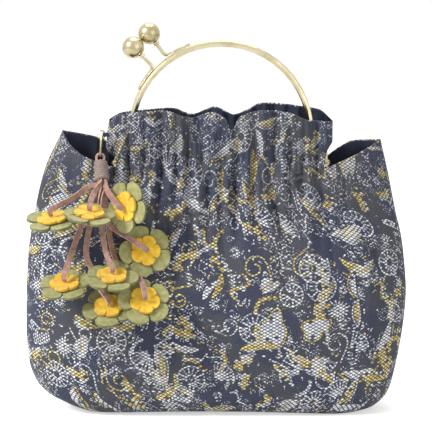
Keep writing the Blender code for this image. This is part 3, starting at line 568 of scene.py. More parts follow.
def band(dice):
    """A forked twig of two gold strips with pale buds beside it."""
    length = dice.uniform(12, 22)
    bend = dice.uniform(-0.5, 0.5)
    t = np.linspace(0, 1, 14)
    spine = np.stack([length * (t - 0.5), bend * length * (t - 0.5) ** 2], 1)
    wide = 1.0 + 0.7 * np.sin(np.pi * t)
    aside = np.stack([0 * t, wide], 1)
    rim = np.concatenate([spine + aside, (spine - aside)[::-1]])
    fork = np.array([[0, 0], [2.0, 5.5], [4.2, 5.0], [2.6, 0]]) + spine[7]
    shapes = [("gold", rim, True), ("gold", fork, True)]
    for k in (2, 5, 10):
        shapes.append(("pale", arc(1.1, 0, math.tau, 9, spine[k] - [0, 3.6]), True))
    return shapes


def plume(dice):
    """A long leaf of parallel pale barbs on a gold rib."""
    length = dice.uniform(14, 22)
    t = np.linspace(0, 1, 12)
    rib = np.stack([length * (t - 0.5), 2.5 * np.sin(np.pi * t)], 1)
    shapes = [("gold", rib, False)]
    for k in range(1, 12):
        reach = 5.5 * math.sin(math.pi * k / 12) ** 0.7
        for way in (1, -1):
            barb = np.array([rib[k] + [0, way * 1.2], rib[k] + [-2.0, way * reach]])
            shapes.append(("pale", barb, False))
    return shapes


def hatch(dice):
    """A few short strokes side by side."""
    shapes = []
    for k in range(dice.integers(4, 8)):
        x = (k - 3) * 2.6
        y = dice.uniform(-1.5, 1.5)
        stroke = np.array([[x, y], [x + 1.6, y + dice.uniform(2, 4.5)]])
        shapes.append(("pale", stroke, False))
    return shapes


def fleck(dice):
    """One short stitch."""
    tip = spoke(0, 1, dice.uniform(0, math.pi))[1] * dice.uniform(0.5, 1.7)
    return [("gold" if dice.random() < 0.25 else "pale", np.array([-tip, tip]), False)]


BOLD = (
    burst, wheel, wheel, fan, fan, leaf, leaf, hook, comb, meander, scroll, patch, band, band,
    plume,
)
BETWEEN = (hatch, beads, hook, leaf, band)


def laid_out(seed):
    """Motifs laid over one side: (colour, points, filled) in millimetres on the cloth."""
    dice = np.random.default_rng(seed)
    shapes = []
    for pitch, makers, share in ((23.0, BOLD, 0.98), (13.0, BETWEEN, 0.30), (6.0, (fleck,), 0.30)):
        rows = int((CLOTH_HIGH[1] - CLOTH_LOW[1]) / pitch) + 1
        columns = int((CLOTH_HIGH[0] - CLOTH_LOW[0]) / pitch) + 1
        for row, column in np.ndindex(rows, columns):
            if dice.random() > share:
                continue
            at = np.array([
                CLOTH_LOW[0] + (column + 0.5 * (row % 2) + dice.uniform(-0.3, 0.3)) * pitch,
                CLOTH_LOW[1] + (row + dice.uniform(-0.3, 0.3)) * pitch,
            ])
            maker = makers[dice.integers(len(makers))]
            a = dice.uniform(0, math.tau)
            turn = np.array([[math.cos(a), math.sin(a)], [-math.sin(a), math.cos(a)]])
            shapes += [(colour, line @ turn + at, filled) for colour, line, filled in maker(dice)]
    return shapes


MOTIFS = {rear: laid_out(seed) for rear, seed in SEEDS.items()}


def drawn(u, v, rear):
    """Distance in millimetres of each point to the pale and to the gold motifs, below 0 inside."""
    found = {colour: np.full(u.shape, MOTIF_REACH) for colour in ("pale", "gold")}
    for colour, line, filled in MOTIFS[rear]:
        low, high = line.min(0) - MOTIF_MARGIN, line.max(0) + MOTIF_MARGIN
        near = np.flatnonzero((u > low[0]) & (u < high[0]) & (v > low[1]) & (v < high[1]))
        if not len(near):
            continue
        p = np.stack([u[near], v[near]], 1)
        best = np.full(len(near), MOTIF_REACH ** 2)
        inside = np.zeros(len(near), bool)
        ends = zip(line, np.roll(line, -1, axis=0)) if filled else zip(line[:-1], line[1:])
        for a, b in ends:
            d = b - a
            t = np.clip(((p - a) @ d) / max(d @ d, 1e-9), 0, 1)
            best = np.minimum(best, ((p - a - t[:, None] * d) ** 2).sum(1))
            if filled and a[1] != b[1]:
                crosses = (a[1] > p[:, 1]) != (b[1] > p[:, 1])
                inside ^= crosses & (p[:, 0] < a[0] + d[0] * (p[:, 1] - a[1]) / d[1])
        best = np.sqrt(best)
        best = np.where(inside, -best, best)
        found[colour][near] = np.minimum(found[colour][near], best)
    return found["pale"], found["gold"]


# Half of a diamond's width and height, a burst's cell in millimetres, and its rays
NET_WIDE = 2.4
NET_HIGH = 1.28
CELL = 14.0
RAYS = 13


def jacquard():
    """Woven jacquard: matte cotton ground with floating yarns held in a diamond net.

    The attribute cloth is the place on the flat cloth in millimetres, and motif is the
    distance to the pale and the gold motifs. All scales are therefore per millimetre.
    """
    made, tree, shader = new_surface(
        "woven_jacquard", "#4a4c58", 0.78, sheen_weight=0.10, sheen_roughness=0.5
    )
    place = add(tree, "Attribute", attribute_name="cloth")["Vector"]
    motif = add(tree, "Attribute", attribute_name="motif")["Vector"]
    motif = add(tree, "SeparateXYZ", {0: motif})
    parts = add(tree, "SeparateXYZ", {0: place})

    def calc(operation, *values):
        return add(tree, "Math", dict(enumerate(values)), operation=operation)[0]

    def ramp(value, low, high, start=0.0, end=1.0):
        ends = {"Value": value, "From Min": low, "From Max": high, "To Min": start, "To Max": end}
        return add(tree, "MapRange", ends, interpolation_type="SMOOTHSTEP")[0]

    def cloudy(scale, detail=2.0):
        return add(tree, "TexNoise", {"Vector": place, "Scale": scale, "Detail": detail})["Fac"]

    def blended(share, one, other):
        return add(tree, "Mix", {0: share, 6: one, 7: other}, data_type="RGBA")[2]

    def split(colour):
        return add(tree, "SeparateColor", {0: colour})

    # the binding yarns cross in a net of diamonds, 4.8 by 2.56 mm from corner to corner,
    # and in a few cells no yarn floats
    cells, floors = [], []
    for lean in (1, -1):
        line = calc("MULTIPLY", parts[1], lean / NET_HIGH)
        line = calc("MULTIPLY_ADD", parts[0], 1 / NET_WIDE, line)
        cells.append(ramp(calc("PINGPONG", line, 1.0), 0.08, 0.44))
        floors.append(calc("FLOOR", calc("MULTIPLY", line, 0.5)))
    net = calc("MULTIPLY", *cells)
    spot = add(tree, "CombineXYZ", {0: floors[0], 1: floors[1]})[0]
    chance = add(tree, "TexWhiteNoise", {"Vector": spot}, noise_dimensions="2D")["Value"]
    kept = ramp(chance, 0.05, 0.12)

    # thin wandering outlines, in some parts of the cloth
    rough = add(
        tree, "TexNoise", {"Vector": place, "Scale": 0.085, "Detail": 2.5, "Roughness": 0.55}
    )["Fac"]
    level = calc("PINGPONG", calc("MULTIPLY", rough, 8.0), 0.5)
    zone = cloudy(0.030, 1.0)
    wander = calc("MULTIPLY", ramp(level, 0.06, 0.15, 1.0, 0.0), ramp(zone, 0.52, 0.54))

    # small bursts and ringed eyelets, one or none in each cell
    shrink = (1 / CELL, 1 / CELL, 0)
    small = add(tree, "VectorMath", {0: place, 1: shrink}, operation="MULTIPLY")["Vector"]
    cell = add(
        tree, "TexVoronoi", {"Vector": small, "Scale": 1.0, "Randomness": 0.8},
        voronoi_dimensions="2D",
    )
    away = add(tree, "VectorMath", {0: small, 1: cell["Position"]}, operation="SUBTRACT")["Vector"]
    away = add(tree, "SeparateXYZ", {0: away})
    turn = calc("ARCTAN2", away[1], away[0])
    far = calc("MULTIPLY", cell["Distance"], CELL)
    dice = split(cell["Color"])
    beside = calc("PINGPONG", calc("MULTIPLY", turn, RAYS / math.tau), 0.5)
    beside = calc("MULTIPLY", calc("MULTIPLY", beside, math.tau / RAYS), far)
    size = calc("MULTIPLY_ADD", dice[1], 3.6, 2.8)
    ray = calc("MULTIPLY", ramp(beside, 0.22, 0.62, 1.0, 0.0), ramp(far, 1.0, 1.5))
    ray = calc("MULTIPLY", ray, calc("LESS_THAN", far, size))
    burst = calc("MULTIPLY", ray, calc("LESS_THAN", dice[0], 0.34))
    rings = ramp(calc("PINGPONG", calc("MULTIPLY", far, 1 / 1.9), 0.5), 0.10, 0.26, 1.0, 0.0)
    dotted = ramp(calc("SINE", calc("MULTIPLY", turn, 18.0)), -0.3, 0.3)
    rings = calc("MULTIPLY", calc("MULTIPLY", rings, dotted), calc("LESS_THAN", far, size))
    eyelet = calc("MULTIPLY", rings, calc("GREATER_THAN", dice[0], 0.84))

    # loose specks in a few parts of the cloth
    grain = add(tree, "TexVoronoi", {"Vector": place, "Scale": 0.62}, voronoi_dimensions="2D")
    speck = ramp(grain["Distance"], 0.24, 0.36, 1.0, 0.0)
    speck = calc("MULTIPLY", speck, ramp(cloudy(0.050), 0.57, 0.63))
    speck = calc("MULTIPLY", speck, calc("GREATER_THAN", split(grain["Color"])[0], 0.45))

    open_ground = ramp(calc("MINIMUM", motif[0], motif[1]), 1.2, 2.2)
    strewn = calc("MAXIMUM", calc("MAXIMUM", wander, burst), calc("MAXIMUM", eyelet, speck))
    strewn = calc("MULTIPLY", strewn, open_ground)
    pale = calc("MAXIMUM", ramp(motif[0], 0.35, 0.85, 1.0, 0.0), strewn)
    # the net holds the yarns down and a few cells have none; from 150 mm up to 185 mm the pale and
    # gold yarns dim to two thirds by height alone, painted shade of the gathered top
    net_and_top_shade = calc("MULTIPLY", calc("MULTIPLY", net, kept), ramp(parts[1], 150.0, 185.0, 1.0, 0.66))
    pale = calc("MULTIPLY", pale, net_and_top_shade)
    gold = calc("MULTIPLY", ramp(motif[1], 0.45, 0.95, 1.0, 0.0), net_and_top_shade)

    # the ground goes from navy to a warm charcoal, heathered, a little darker on the net
    patchy = ramp(cloudy(0.024, 3.0), 0.44, 0.56)
    ground = blended(patchy, tone("#293049"), tone("#3e3f47"))
    ground = blended(ramp(cloudy(1.3), 0.45, 0.80, 0.0, 0.50), ground, tone("#757885"))
    ground = blended(ramp(cloudy(0.8), 0.25, 0.48, 0.70, 0.0), ground, tone("#1f222c"))
    ground = blended(ramp(net, 0.0, 1.0, 0.25, 0.0), ground, tone("#1c1e26"))
    golden = blended(ramp(cloudy(0.35), 0.40, 0.58), tone("#c4a33e"), tone("#f2e59c"))
    silver = blended(ramp(cloudy(0.25), 0.40, 0.62), tone("#d5d8e3"), tone("#fdfdfb"))
    shown = blended(pale, blended(gold, ground, golden), silver)
    tree.links.new(shown, shader.inputs["Base Color"])
    raised = calc("ADD", calc("MAXIMUM", pale, gold), calc("MULTIPLY", net, 0.5))
    bump = add(tree, "Bump", {"Strength": 0.6, "Distance": 0.0004, "Height": raised})
    tree.links.new(bump[0], shader.inputs["Normal"])
    return made


woven = jacquard()

# The body is one soft tube of that cloth, sewn shut below and up its sides. It stands on
# its two lower corners, with gathers that fade downwards and creases that the pull of the
# frame leaves in it. Its shape is set by outlines measured from the middle of the mouth.

MM = 0.001
HALF_WIDTH = 0.1528
LEFT_TIP = 0.2233
RIGHT_TIP = 0.2161
LEFT_OUTLINE = (
    (0.0, 0.70), (0.033, 0.806), (0.065, 0.895), (0.108, 0.953), (0.170, 0.987), (0.271, 1.0),
    (0.420, 0.997), (0.546, 0.987), (0.695, 0.953), (0.861, 0.895), (1.0, 0.800),
)
RIGHT_OUTLINE = (
    (0.0, 0.77), (0.019, 0.84), (0.071, 0.911), (0.127, 0.937), (0.228, 0.969), (0.333, 0.99),
    (0.434, 1.0), (0.540, 0.99), (0.652, 0.969), (0.719, 0.945), (0.872, 0.900), (1.0, 0.858),
)
LEFT_END = -0.085
RIGHT_END = 0.087
# Heights where the body's piece ends, the ears begin to bend, and the rods lie
SPLIT = 0.150
ROD = 0.196
SHOULDER = 0.1732
EAR_HIGH = 0.05
HEM_INSET = 0.0016
BOTTOM_LIFT = 0.0024
BODY_COLUMNS = 391
BODY_ROWS = 181
UNDER_ROWS = 36

# Half the depth, in millimetres, low down and under the mouth, at shares of the shoulder
DEPTH_LOW = ((0.0, 0.0), (0.02, 0.40), (0.07, 0.75), (0.20, 0.96), (0.40, 1.0))
DEPTH_HIGH = ((0.40, 1.0), (0.62, 0.82), (0.82, 0.38), (1.0, 0.0))
# How far the cloth stands out where it runs in to the rod, at heights in metres
DRAWN_IN = ((0.150, 0.033), (0.165, 0.0262), (0.178, 0.0190), (0.188, 0.0150), (0.196, 0.0136))


def smooth(table, at):
    """Values of a smooth curve through (place, value) pairs."""
    xs = np.array([p[0] for p in table], float)
    ys = np.array([p[1] for p in table], float)
    rise = np.diff(ys) / np.diff(xs)
    mean = np.where(rise[:-1] * rise[1:] > 0, 2 * rise[:-1] * rise[1:] / np.where(
        rise[:-1] + rise[1:] == 0, 1, rise[:-1] + rise[1:]), 0)
    slopes = np.concatenate([rise[:1], mean, rise[-1:]])
    at = np.clip(at, xs[0], xs[-1])
    i = np.clip(np.searchsorted(xs, at, side="right") - 1, 0, len(xs) - 2)
    span = xs[i + 1] - xs[i]
    t = (at - xs[i]) / span
    ease = t * t * (3 - 2 * t)
    return (
        ys[i] * (1 - ease) + ys[i + 1] * ease
        + span * t * (1 - t) * ((1 - t) * slopes[i] - t * slopes[i + 1])
    )


def step(low, high, at):
    """From 0 below low to 1 above high, with soft ends."""
    t = np.clip((at - low) / (high - low), 0, 1)
    return t * t * (3 - 2 * t)


def half_width(sign, z):
    """How far the side seam is from the middle, to the left for a sign below 0."""
    left = HALF_WIDTH * smooth(LEFT_OUTLINE, z / LEFT_TIP)
    right = HALF_WIDTH * smooth(RIGHT_OUTLINE, z / RIGHT_TIP)
    return np.where(sign < 0, left, right)


def pleats(x, length, phase):
    """Round crests with sharp hollows between them, unevenly spaced, from 0 to 1."""
    drift = 2.6 * np.sin(x / 0.017 + phase) + 1.4 * np.sin(x / 0.0071 + 2 * phase)
    return np.abs(np.sin(np.pi * (x + drift * MM) / length + phase)) ** 0.85


# Each crease of the front: its line from top to bottom in millimetres, depth and half width
CREASES = (
    (((14, 199), (14.5, 176), (16, 158), (19, 138)), 4.4, 2.6),
    (((-20, 198), (-19, 168), (-21, 140), (-27, 114)), 4.0, 3.0),
    (((-42, 197), (-46, 170), (-52, 150)), 3.4, 2.6),
    (((-66, 196), (-74, 172), (-86, 154)), 3.2, 2.8),
    (((-4, 196), (-6, 172), (-3, 152)), 2.8, 2.2),
    (((28, 196), (29, 172), (33, 150)), 3.2, 2.4),
    (((41, 198), (45, 170), (53, 148), (66, 130)), 3.6, 3.0),
    (((63, 196), (72, 172), (84, 156)), 3.2, 2.8),
    (((-31, 196), (-32, 182), (-34, 168)), 2.4, 2.0),
    (((54, 196), (57, 182), (61, 170)), 2.2, 2.0),
    (((125, 130), (131, 90), (127, 48)), 3.0, 4.0),
    (((-124, 140), (-130, 105), (-126, 66)), 2.4, 4.0),
    (((-70, 26), (-20, 20), (40, 25)), 1.8, 5.0),
)


def crease(x, z, line, depth, width):
    """A crease pressed in along a line, fading to its end, with a soft roll beside it."""
    knots = [Vector((a, 0, b)) * MM for a, b in line]
    way = curve_through(knots, 0.004)
    best = np.full(x.shape, 1.0)
    share = np.zeros(x.shape)
    for i, point in enumerate(way):
        away = np.hypot(x - point.x, z - point.z)
        share = np.where(away < best, i / (len(way) - 1), share)
        best = np.minimum(best, away)
    fade = np.clip((1 - share) * 1.8, 0, 1) * np.exp(-np.maximum(best / MM - 14, 0))
    near = best / MM / width
    return depth * MM * fade * (0.80 * np.exp(-((near - 2.1) / 1.0) ** 2) - np.exp(-near ** 2))


def folds(x, z, rear):
    """How far the folds under the rod stand out from the smooth form, in metres."""
    seed = 3.7 if rear else 0.0
    below = ROD - z
    window = step(-0.098, -0.074, x) * (1 - step(0.076, 0.100, x))
    wide = step(-0.135, -0.08, x) * (1 - step(0.085, 0.14, x))
    fine = np.where(below > -0.002, np.exp(-np.maximum(below, 0) / 0.016), 0)
    total = window * 2.2 * fine * pleats(x, 0.0075, 0.4 + seed)
    total += window * 4.8 * np.exp(-np.maximum(below, 0) / 0.034) * pleats(x, 0.0127, 1.9 + seed)
    total += wide * 4.4 * np.exp(-((below - 0.024) / 0.036) ** 2) * pleats(x, 0.0218, 0.8 + seed)
    leaning = pleats(x + 0.10 * (z - 0.1), 0.043, 2.4 + seed)
    total += wide * 4.8 * np.exp(-((below - 0.055) / 0.050) ** 2) * leaning
    sway = step(0.0, 0.05, z) * np.exp(-((z - 0.085) / 0.055) ** 2)
    total += 2.2 * sway * np.sin(x / 0.027 + 5 * z + seed)
    total = total * MM
    for line, depth, width in CREASES:
        if rear:
            line = [(-0.93 * a, b) for a, b in line]
        total = total + crease(x, z, line, depth, width)
    return total


def form(x, z, rear):
    """How far the bag's outer surface stands out at a place, with its folds."""
    w = np.clip(np.abs(x) / half_width(x, z), 0, 1)
    low = 31 + 15 * smooth(DEPTH_LOW, z / SHOULDER)
    neck = 20.4 + 25.6 * smooth(DEPTH_HIGH, z / SHOULDER)
    ear = 20.4 - 4.4 * np.clip((z - SHOULDER) / EAR_HIGH, 0, 1.2)
    depth = np.where(z < 0.4 * SHOULDER, low, np.where(z < SHOULDER, neck, ear)) * MM
    round_to = 3.0 + 4.0 * (1 - step(0, 0.05, z))
    power = 1 / (2.0 + 0.8 * (1 - step(0, 0.06, z)))
    bow = (1 - w ** round_to) ** power
    pull = step(0.158, 0.186, z) * step(-0.112, -0.082, x) * (1 - step(0.084, 0.116, x))
    pulled = np.minimum(smooth(DRAWN_IN, z), depth * bow + 0.01)
    out = depth * bow * (1 - pull) + pulled * pull
    return out - HEM_INSET * step(0.0, 0.02, z) + folds(x, z, rear) * np.clip((1 - w) * 4, 0, 1)


def round_the_side():
    """Lengths in millimetres along the cloth from its middle to shares of the half width."""
    share = np.sin(np.linspace(0, 1, 400) * np.pi / 2)
    across, ahead = 152 * share, 46 * np.sqrt(1 - share ** 3)
    return share, np.concatenate([[0], np.cumsum(np.hypot(np.diff(across), np.diff(ahead)))])


def cloth_place(x, z):
    """Where a point of the panel lies on the flat cloth, in millimetres."""
    u = np.sign(x) * np.interp(np.abs(x) / half_width(x, z), *round_the_side())
    return u + 300 * step(0.13, 0.19, z) * np.clip(x, LEFT_END, RIGHT_END), z / MM


def cloth_layers(x, z, rear):
    """The two attributes of the jacquard for points of one side."""
    u, v = cloth_place(x, z)
    pale, gold = drawn(u.ravel(), v.ravel(), rear)
    cloth = np.stack([u + (500.0 if rear else 0.0), v, np.zeros_like(u)], -1)
    motif = np.stack([pale.reshape(u.shape), gold.reshape(u.shape), np.zeros_like(u)], -1)
    return cloth, motif


def drape(name, points, cloth, motif, coats, lined_from=None, weld=False):
    """A grid of cloth whose rows and columns take the places that the form gives."""
    rows, columns = points.shape[:2]
    bm = bmesh.new()
    bmesh.ops.create_grid(bm, x_segments=columns - 1, y_segments=rows - 1, size=1.0)
    mesh = bpy.data.meshes.new(name)
    bm.to_mesh(mesh)
    bm.free()
    flat = np.empty(rows * columns * 3)
    mesh.vertices.foreach_get("co", flat)
    flat = flat.reshape(-1, 3)
    column = np.rint((flat[:, 0] + 1) / 2 * (columns - 1)).astype(int)
    row = np.rint((flat[:, 1] + 1) / 2 * (rows - 1)).astype(int)
    mesh.vertices.foreach_set("co", points[row, column].ravel())
    for word, values in (("cloth", cloth), ("motif", motif)):
        layer = mesh.attributes.new(word, "FLOAT_VECTOR", "POINT")
        layer.data.foreach_set("vector", values[row, column].ravel())
    for coat in coats:
        mesh.materials.append(coat)
    if lined_from is not None:
        starts = np.empty(len(mesh.polygons), np.int32)
        mesh.polygons.foreach_get("loop_start", starts)
        corner = np.empty(len(mesh.loops), np.int32)
        mesh.loops.foreach_get("vertex_index", corner)
        inner = row[corner[starts]] >= lined_from
        mesh.polygons.foreach_set("material_index", inner.astype(np.int32))
    if weld:
        bm = bmesh.new()
        bm.from_mesh(mesh)
        bmesh.ops.remove_doubles(bm, verts=bm.verts, dist=2e-5)
        bm.to_mesh(mesh)
        bm.free()
    mesh.update()
    mesh.shade_smooth()
    made = bpy.data.objects.new(name, mesh)
    studio.collection.objects.link(made)
    return made


def face_out(made, inner_at):
    """Turns a cloth over if most of its faces look towards a point inside."""
    count = len(made.data.polygons)
    normals = np.empty(count * 3)
    centres = np.empty(count * 3)
    made.data.polygons.foreach_get("normal", normals)
    made.data.polygons.foreach_get("center", centres)
    outward = ((centres.reshape(-1, 3) - inner_at) * normals.reshape(-1, 3)).sum(1)
    if np.median(outward) < 0:
        made.data.flip_normals()
    return made


for rear in (False, True):
    side = 1 if rear else -1
    word = "rear" if rear else "front"
    q = np.linspace(-1, 1, BODY_COLUMNS)
    w = 0.45 * q + 0.55 * np.sin(q * np.pi / 2)
    W, Z = np.meshgrid(w, np.linspace(0, SPLIT, BODY_ROWS))
    X = W * half_width(W, Z)
    Y = side * np.maximum(form(X, Z, rear), 0)
    Y = np.where(np.abs(W) > 0.99999, 0, Y)
    # the bottom edge rises a little in the middle, between the corners it stands on
    lift = BOTTOM_LIFT * np.clip(1 - ((X + 0.01) / 0.105) ** 2, 0, 1)
    H = Z + lift * (1 - step(0, 0.07, Z))
    # the rows underneath run in from the bottom edge to the fold in the middle
    K = np.meshgrid(np.linspace(0, 1, UNDER_ROWS)[:-1], w, indexing="ij")[0]
    cloth, motif = cloth_layers(
        np.vstack([np.repeat(X[:1], len(K), 0), X]), np.vstack([-0.035 * (1 - K), Z]), rear
    )
    X = np.vstack([X[:1] * (0.55 + 0.45 * K), X])
    Y = np.vstack([Y[:1] * K, Y])
    H = np.vstack([H[:1] * K ** 0.5, H])
    body = drape(f"body_{word}", np.stack([X, Y, H], -1), cloth, motif, [woven], weld=True)
    face_out(body, np.array([0, 0, 0.08]))
    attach(body, "bag")
    if not rear:
        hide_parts("bag_shell")

# The lining is plain-woven navy cotton: dark, matte and even. It hangs inside the body and
# shows in the mouth, in the ears and behind the frill. The small tab that holds the
# charm's ring is folded from the same cloth.

lined, tree, shader = new_surface("navy_lining", "#262c40", 0.9)
thread = clouded(tree, shader, 1500.0, 1.0, 0.3, 0.7, "#1c2133", "#2f364c")
bump = add(tree, "Bump", {"Strength": 0.4, "Distance": 0.0002, "Height": thread})
tree.links.new(bump[0], shader.inputs["Normal"])
dress("lining", lined)
dress("charm_tab", lined)

# The top of each side is one width of the bag's cloth: it runs over the rod in a stitched
# casing and stands up above it as a frill, its edge turned over and lined.

CASING_TOP = 0.2030
FRILL_FOOT = 0.200
TOP_WALL = 0.0020
TOP_COLUMNS = 231
CASING_ROWS = 67
FRILL_ROWS = 48
TURNED_EDGE = (45, 90, 135, 180)

# The frill's highest level, and how far its edge lies below it from the left end, at -1,
# to the right end, at 1
CRESTS = {False: 0.2400, True: 0.2437}
TOP_EDGES = {
    False: (
        (-1.0, 0.011), (-0.93, 0.004), (-0.50, 0.0), (-0.34, 0.0046), (-0.25, 0.006),
        (-0.08, 0.001), (0.04, 0.006), (0.10, 0.0158), (0.17, 0.005), (0.37, 0.0),
        (0.58, 0.001), (0.80, 0.008), (1.0, 0.009),
    ),
    True: (
        (-1.0, 0.012), (-0.90, 0.008), (-0.44, 0.004), (-0.25, 0.009), (-0.05, 0.003),
        (0.12, 0.009), (0.38, 0.0), (0.60, 0.001), (0.88, 0.005), (1.0, 0.013),
    ),
}
# Where the top's two ends are at a height: drawn in at the casing, wider above it
ENDS_LEFT = (
    (0.150, -0.0862), (0.193, -0.0860), (0.1955, -0.0800), (0.199, -0.0780), (0.203, -0.0800),
    (0.207, -0.0855), (0.211, -0.0872), (0.222, -0.0866), (0.232, -0.0848), (0.26, -0.0838),
)
ENDS_RIGHT = (
    (0.150, 0.0882), (0.193, 0.0880), (0.1955, 0.0860), (0.200, 0.0850), (0.208, 0.0885),
    (0.215, 0.0925), (0.26, 0.0928),
)
# Where the frill is drawn in, beside the waves: place, depth and half width in millimetres
HOLLOWS = {
    False: (
        (-66, 2.4, 3.4), (-47, 2.2, 2.6), (-17.5, 4.4, 3.2), (11, 4.0, 3.0), (44, 2.6, 2.6),
        (61, 2.4, 3.0),
    ),
    True: ((-58, 2.6, 3.2), (-30, 3.0, 3.0), (-2, 3.2, 2.8), (25, 2.6, 2.6), (52, 2.8, 3.2)),
}


def end_roll(x, left, right):
    """From 0 at the frill's two ends, where the cloth is folded in, to 1 inside."""
    near = np.clip(np.minimum(x - left, right - x) / 0.0075, 0, 1)
    return np.sqrt(np.clip(1 - (1 - near) ** 2, 0, 1))


def frill_out(x, z, top, rear, left, right):
    """How far the outer face of the frill stands out, wavier towards its edge."""
    up = np.clip((z - FRILL_FOOT) / (top - FRILL_FOOT), 0, 1)
    seed = 2.2 if rear else 0.0
    wave = 0.6 * np.sin(x / 0.0087 + 0.9 + seed) + 0.4 * np.sin(x / 0.0049 + 1.3 + seed)
    fine = pleats(x, 0.0127, 1.9 + (3.7 if rear else 0.0)) - 0.5
    tight = pleats(x, 0.0062, 0.9 + seed) - 0.5
    out = 0.0112 + 0.0044 * up + (0.0006 + 0.0042 * up) * wave
    out += (0.0034 * (1 - up) + 0.0024) * fine + (0.0018 * (1 - up) ** 2 + 0.0008) * tight
    for middle, depth, width in HOLLOWS[rear]:
        near = (x / MM - middle - 3 * up) / width
        out -= depth * MM * (0.35 + 0.65 * up) * np.exp(-near ** 2)
    roll = 1 - (1 - end_roll(x, left, right)) * step(0.2005, 0.208, z)
    return 0.0034 + (out - 0.0034) * roll


def top_edge(x, rear):
    """The height of the frill's uneven edge."""
    return CRESTS[rear] - smooth(TOP_EDGES[rear], (x - 0.004) / 0.0888)


def top_row(z, share):
    """A row's two ends, and its places at shares of the way between them."""
    left, right = np.interp(z, *zip(*ENDS_LEFT)), np.interp(z, *zip(*ENDS_RIGHT))
    return left, right, left + (right - left) * share


def behind_rod(x, y, z):
    """The lining's place, which goes round the rod on its inner side to close the casing."""
    closed = 0.0058 + 0.0006 * pleats(x, 0.0062, 0.9)
    share = step(0.186, 0.193, z) * (1 - step(0.1990, 0.2045, z))
    share = share * step(0.0, 0.005, np.minimum(x - x[0], x[-1] - x))
    return y * (1 - share) + np.minimum(y, closed) * share


for rear in (False, True):
    side = 1 if rear else -1
    word = "rear" if rear else "front"
    sigma = np.linspace(0, 1, TOP_COLUMNS)
    outer = []
    for level in np.linspace(SPLIT, CASING_TOP, CASING_ROWS):
        z = np.full_like(sigma, level)
        left, right, x = top_row(z, sigma)
        # the casing swells over the rod, above the row of stitches that closes it
        bulge = 0.0014 * np.exp(-((z - 0.197) / 0.0035) ** 2)
        bulge = bulge - 0.0010 * np.exp(-((z - 0.1895) / 0.0012) ** 2)
        neat = smooth(((0.186, 0.0), (0.2005, 1.0)), z)
        low = frill_out(x, np.full_like(x, 0.2005), top_edge(x, rear), rear, left, right)
        y = form(x, z, rear) * (1 - neat) + low * neat + bulge
        outer.append((x, y, z, end_roll(x, left, right)))
    for level in np.linspace(0, 1, FRILL_ROWS + 1)[1:]:
        # above the casing the rows spread to the uneven edge
        top = top_edge(-0.085 + 0.178 * sigma, rear)
        z = CASING_TOP + (top - CASING_TOP) * level
        left, right, x = top_row(z, sigma)
        y = frill_out(x, z, top, rear, left, right)
        outer.append((x, y, z, end_roll(x, left, right)))
    rows = [(x, y, z, z) for x, y, z, roll in outer]
    x, y, z, roll = outer[-1]
    half = TOP_WALL / 2
    for turn in TURNED_EDGE:
        a = math.radians(turn)
        rows.append((x, y - half + half * math.cos(a), z + half * math.sin(a), z + MM))
    lined_from = len(rows) - 1
    for x, y, z, roll in outer[-2::-2]:
        rows.append((x, behind_rod(x, y - TOP_WALL * (0.2 + 0.8 * roll), z), z, z))
    X, Y, Z, V = (np.array(group) for group in zip(*rows))
    cloth, motif = cloth_layers(X, V, rear)
    panel = drape(
        f"gathered_top_{word}", np.stack([X, side * Y, Z], -1), cloth, motif, [woven, lined],
        lined_from,
    )
    face_out(panel, np.array([0, side * 0.009, 0.19]))
    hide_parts(f"{word}_heading")
    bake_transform(panel)

# The ears are the pointed corners of the bag beside the frame, where front and back are
# sewn together at the side. Their upper edges slope up to the tip, turned in on the lining.

EAR_COLUMNS = 81
EAR_ROWS = 71
EAR_WALL = 0.0018
EAR_OVERLAP = 0.004
# From the frame an ear bends along a slanting line, so that it meets the top at its border
SHOULDERS = {True: 0.1955, False: 0.1935}

# How far an ear's edge has risen at shares of the way from the frame to its tip, for the
# rear or the front, and the left or the right
EAR_EDGES = {
    (False, True): ((0.0, 0.0), (0.44, 0.28), (0.75, 0.62), (1.0, 1.0)),
    (False, False): ((0.0, 0.0), (0.5, 0.45), (1.0, 1.0)),
    (True, True): ((0.0, 0.30), (0.08, 0.52), (0.20, 0.70), (1.0, 1.0)),
    (True, False): ((0.0, 0.0), (0.085, 0.25), (0.34, 0.70), (0.55, 0.92), (1.0, 1.0)),
}

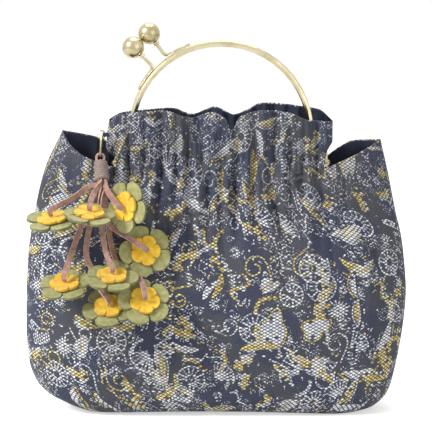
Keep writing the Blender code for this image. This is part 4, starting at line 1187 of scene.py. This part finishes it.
for (rear, left), edge in EAR_EDGES.items():
    side = 1 if rear else -1
    sign = -1 if left else 1
    end = LEFT_END if left else RIGHT_END
    tip = LEFT_TIP if left else RIGHT_TIP
    word = "rear" if rear else "front"
    across = np.sin(np.linspace(0, 1, EAR_COLUMNS) * np.pi / 2)
    S, L = np.meshgrid(across, np.linspace(0, 1, EAR_ROWS))
    top = SHOULDERS[left] + (tip - SHOULDERS[left]) * smooth(edge, S)
    Z = SPLIT + (top - SPLIT) * L
    start = end - sign * EAR_OVERLAP
    X = start + (sign * half_width(sign, Z) - start) * S
    Y = np.maximum(form(X, Z, rear), 0.0) - 0.0003 * (1 - S)
    Y = np.where(S >= 1, 0, Y)
    outer = list(zip(X, Y, Z))
    rows = list(outer)
    x, y, z = outer[-1]
    room = np.minimum(EAR_WALL, y * 2)
    for turn in TURNED_EDGE:
        a = math.radians(turn)
        rows.append((x, y - room / 2 + room / 2 * math.cos(a), z + EAR_WALL / 2 * math.sin(a)))
    lined_from = len(rows) - 1
    for x, y, z in outer[-3::-4]:
        # the lining is narrower at the side seam, where there is no room for its wall
        rows.append((x - sign * EAR_WALL * (y < 0.004), np.maximum(y - EAR_WALL, 0.0), z))
    X, Y, Z = (np.array(group) for group in zip(*rows))
    cloth, motif = cloth_layers(X, Z, rear)
    ear = drape(
        f"ear_{'left' if left else 'right'}_{word}", np.stack([X, side * Y, Z], -1), cloth, motif,
        [woven, lined], lined_from,
    )
    face_out(ear, np.array([end, side * 0.004, 0.17]))
    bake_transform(ear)

# The frame is pale antique brass: two bent hoops with flat feet, a rod and two nuts each,
# pins, a stem each for the clasp, and the charm's ring and long loop. It is plated, softly
# polished and a little worn, which gives it cloudy warm and grey patches.

METAL = ("hoop", "rod", "stem", "ball", "pin", "ring", "clasp")
EDGE_ANGLE = 35

brass, tree, shader = new_surface("antique_brass_plate", "#d8ccaa", 0.24, metallic=1.0)
patina = clouded(tree, shader, 55.0, 3.0, 0.35, 0.60, "#b9ac84", "#d6cca9")
rough = add(tree, "MapRange", {"Value": patina, "To Min": 0.30, "To Max": 0.18})[0]
tree.links.new(rough, shader.inputs["Roughness"])

for name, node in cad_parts.items():
    if node.data.materials and not node.hide_render and any(word in name for word in METAL):
        mesh = dress(name, brass)
        mesh.shade_smooth()
        mesh.set_sharp_from_angle(angle=math.radians(EDGE_ANGLE))

# The clasp's two balls are turned from brass, plated like the frame and fixed on their
# stems. They stand side by side beyond the arch, one on each hoop.

BALL_RADIUS = 0.0086
BALL_REACH = 0.0971
BALL_ANGLE = 130.7
BALL_HALF_ANGLE = 4.8
BALL_ASIDE = 0.0036
ARCH_MIDDLE = (0.004, 0.2217)

for word, side in (("front", 1), ("rear", -1)):
    turn = math.radians(BALL_ANGLE + side * BALL_HALF_ANGLE)
    place = (
        ARCH_MIDDLE[0] + BALL_REACH * math.cos(turn),
        -side * BALL_ASIDE,
        ARCH_MIDDLE[1] + BALL_REACH * math.sin(turn),
    )
    bm = bmesh.new()
    bmesh.ops.create_uvsphere(bm, u_segments=64, v_segments=40, radius=BALL_RADIUS)
    bmesh.ops.translate(bm, vec=place, verts=bm.verts)
    ball = to_object(f"polished_ball_{word}", bm, [brass])
    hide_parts(f"{word}_clasp_ball")
    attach(ball, f"{word}_frame")
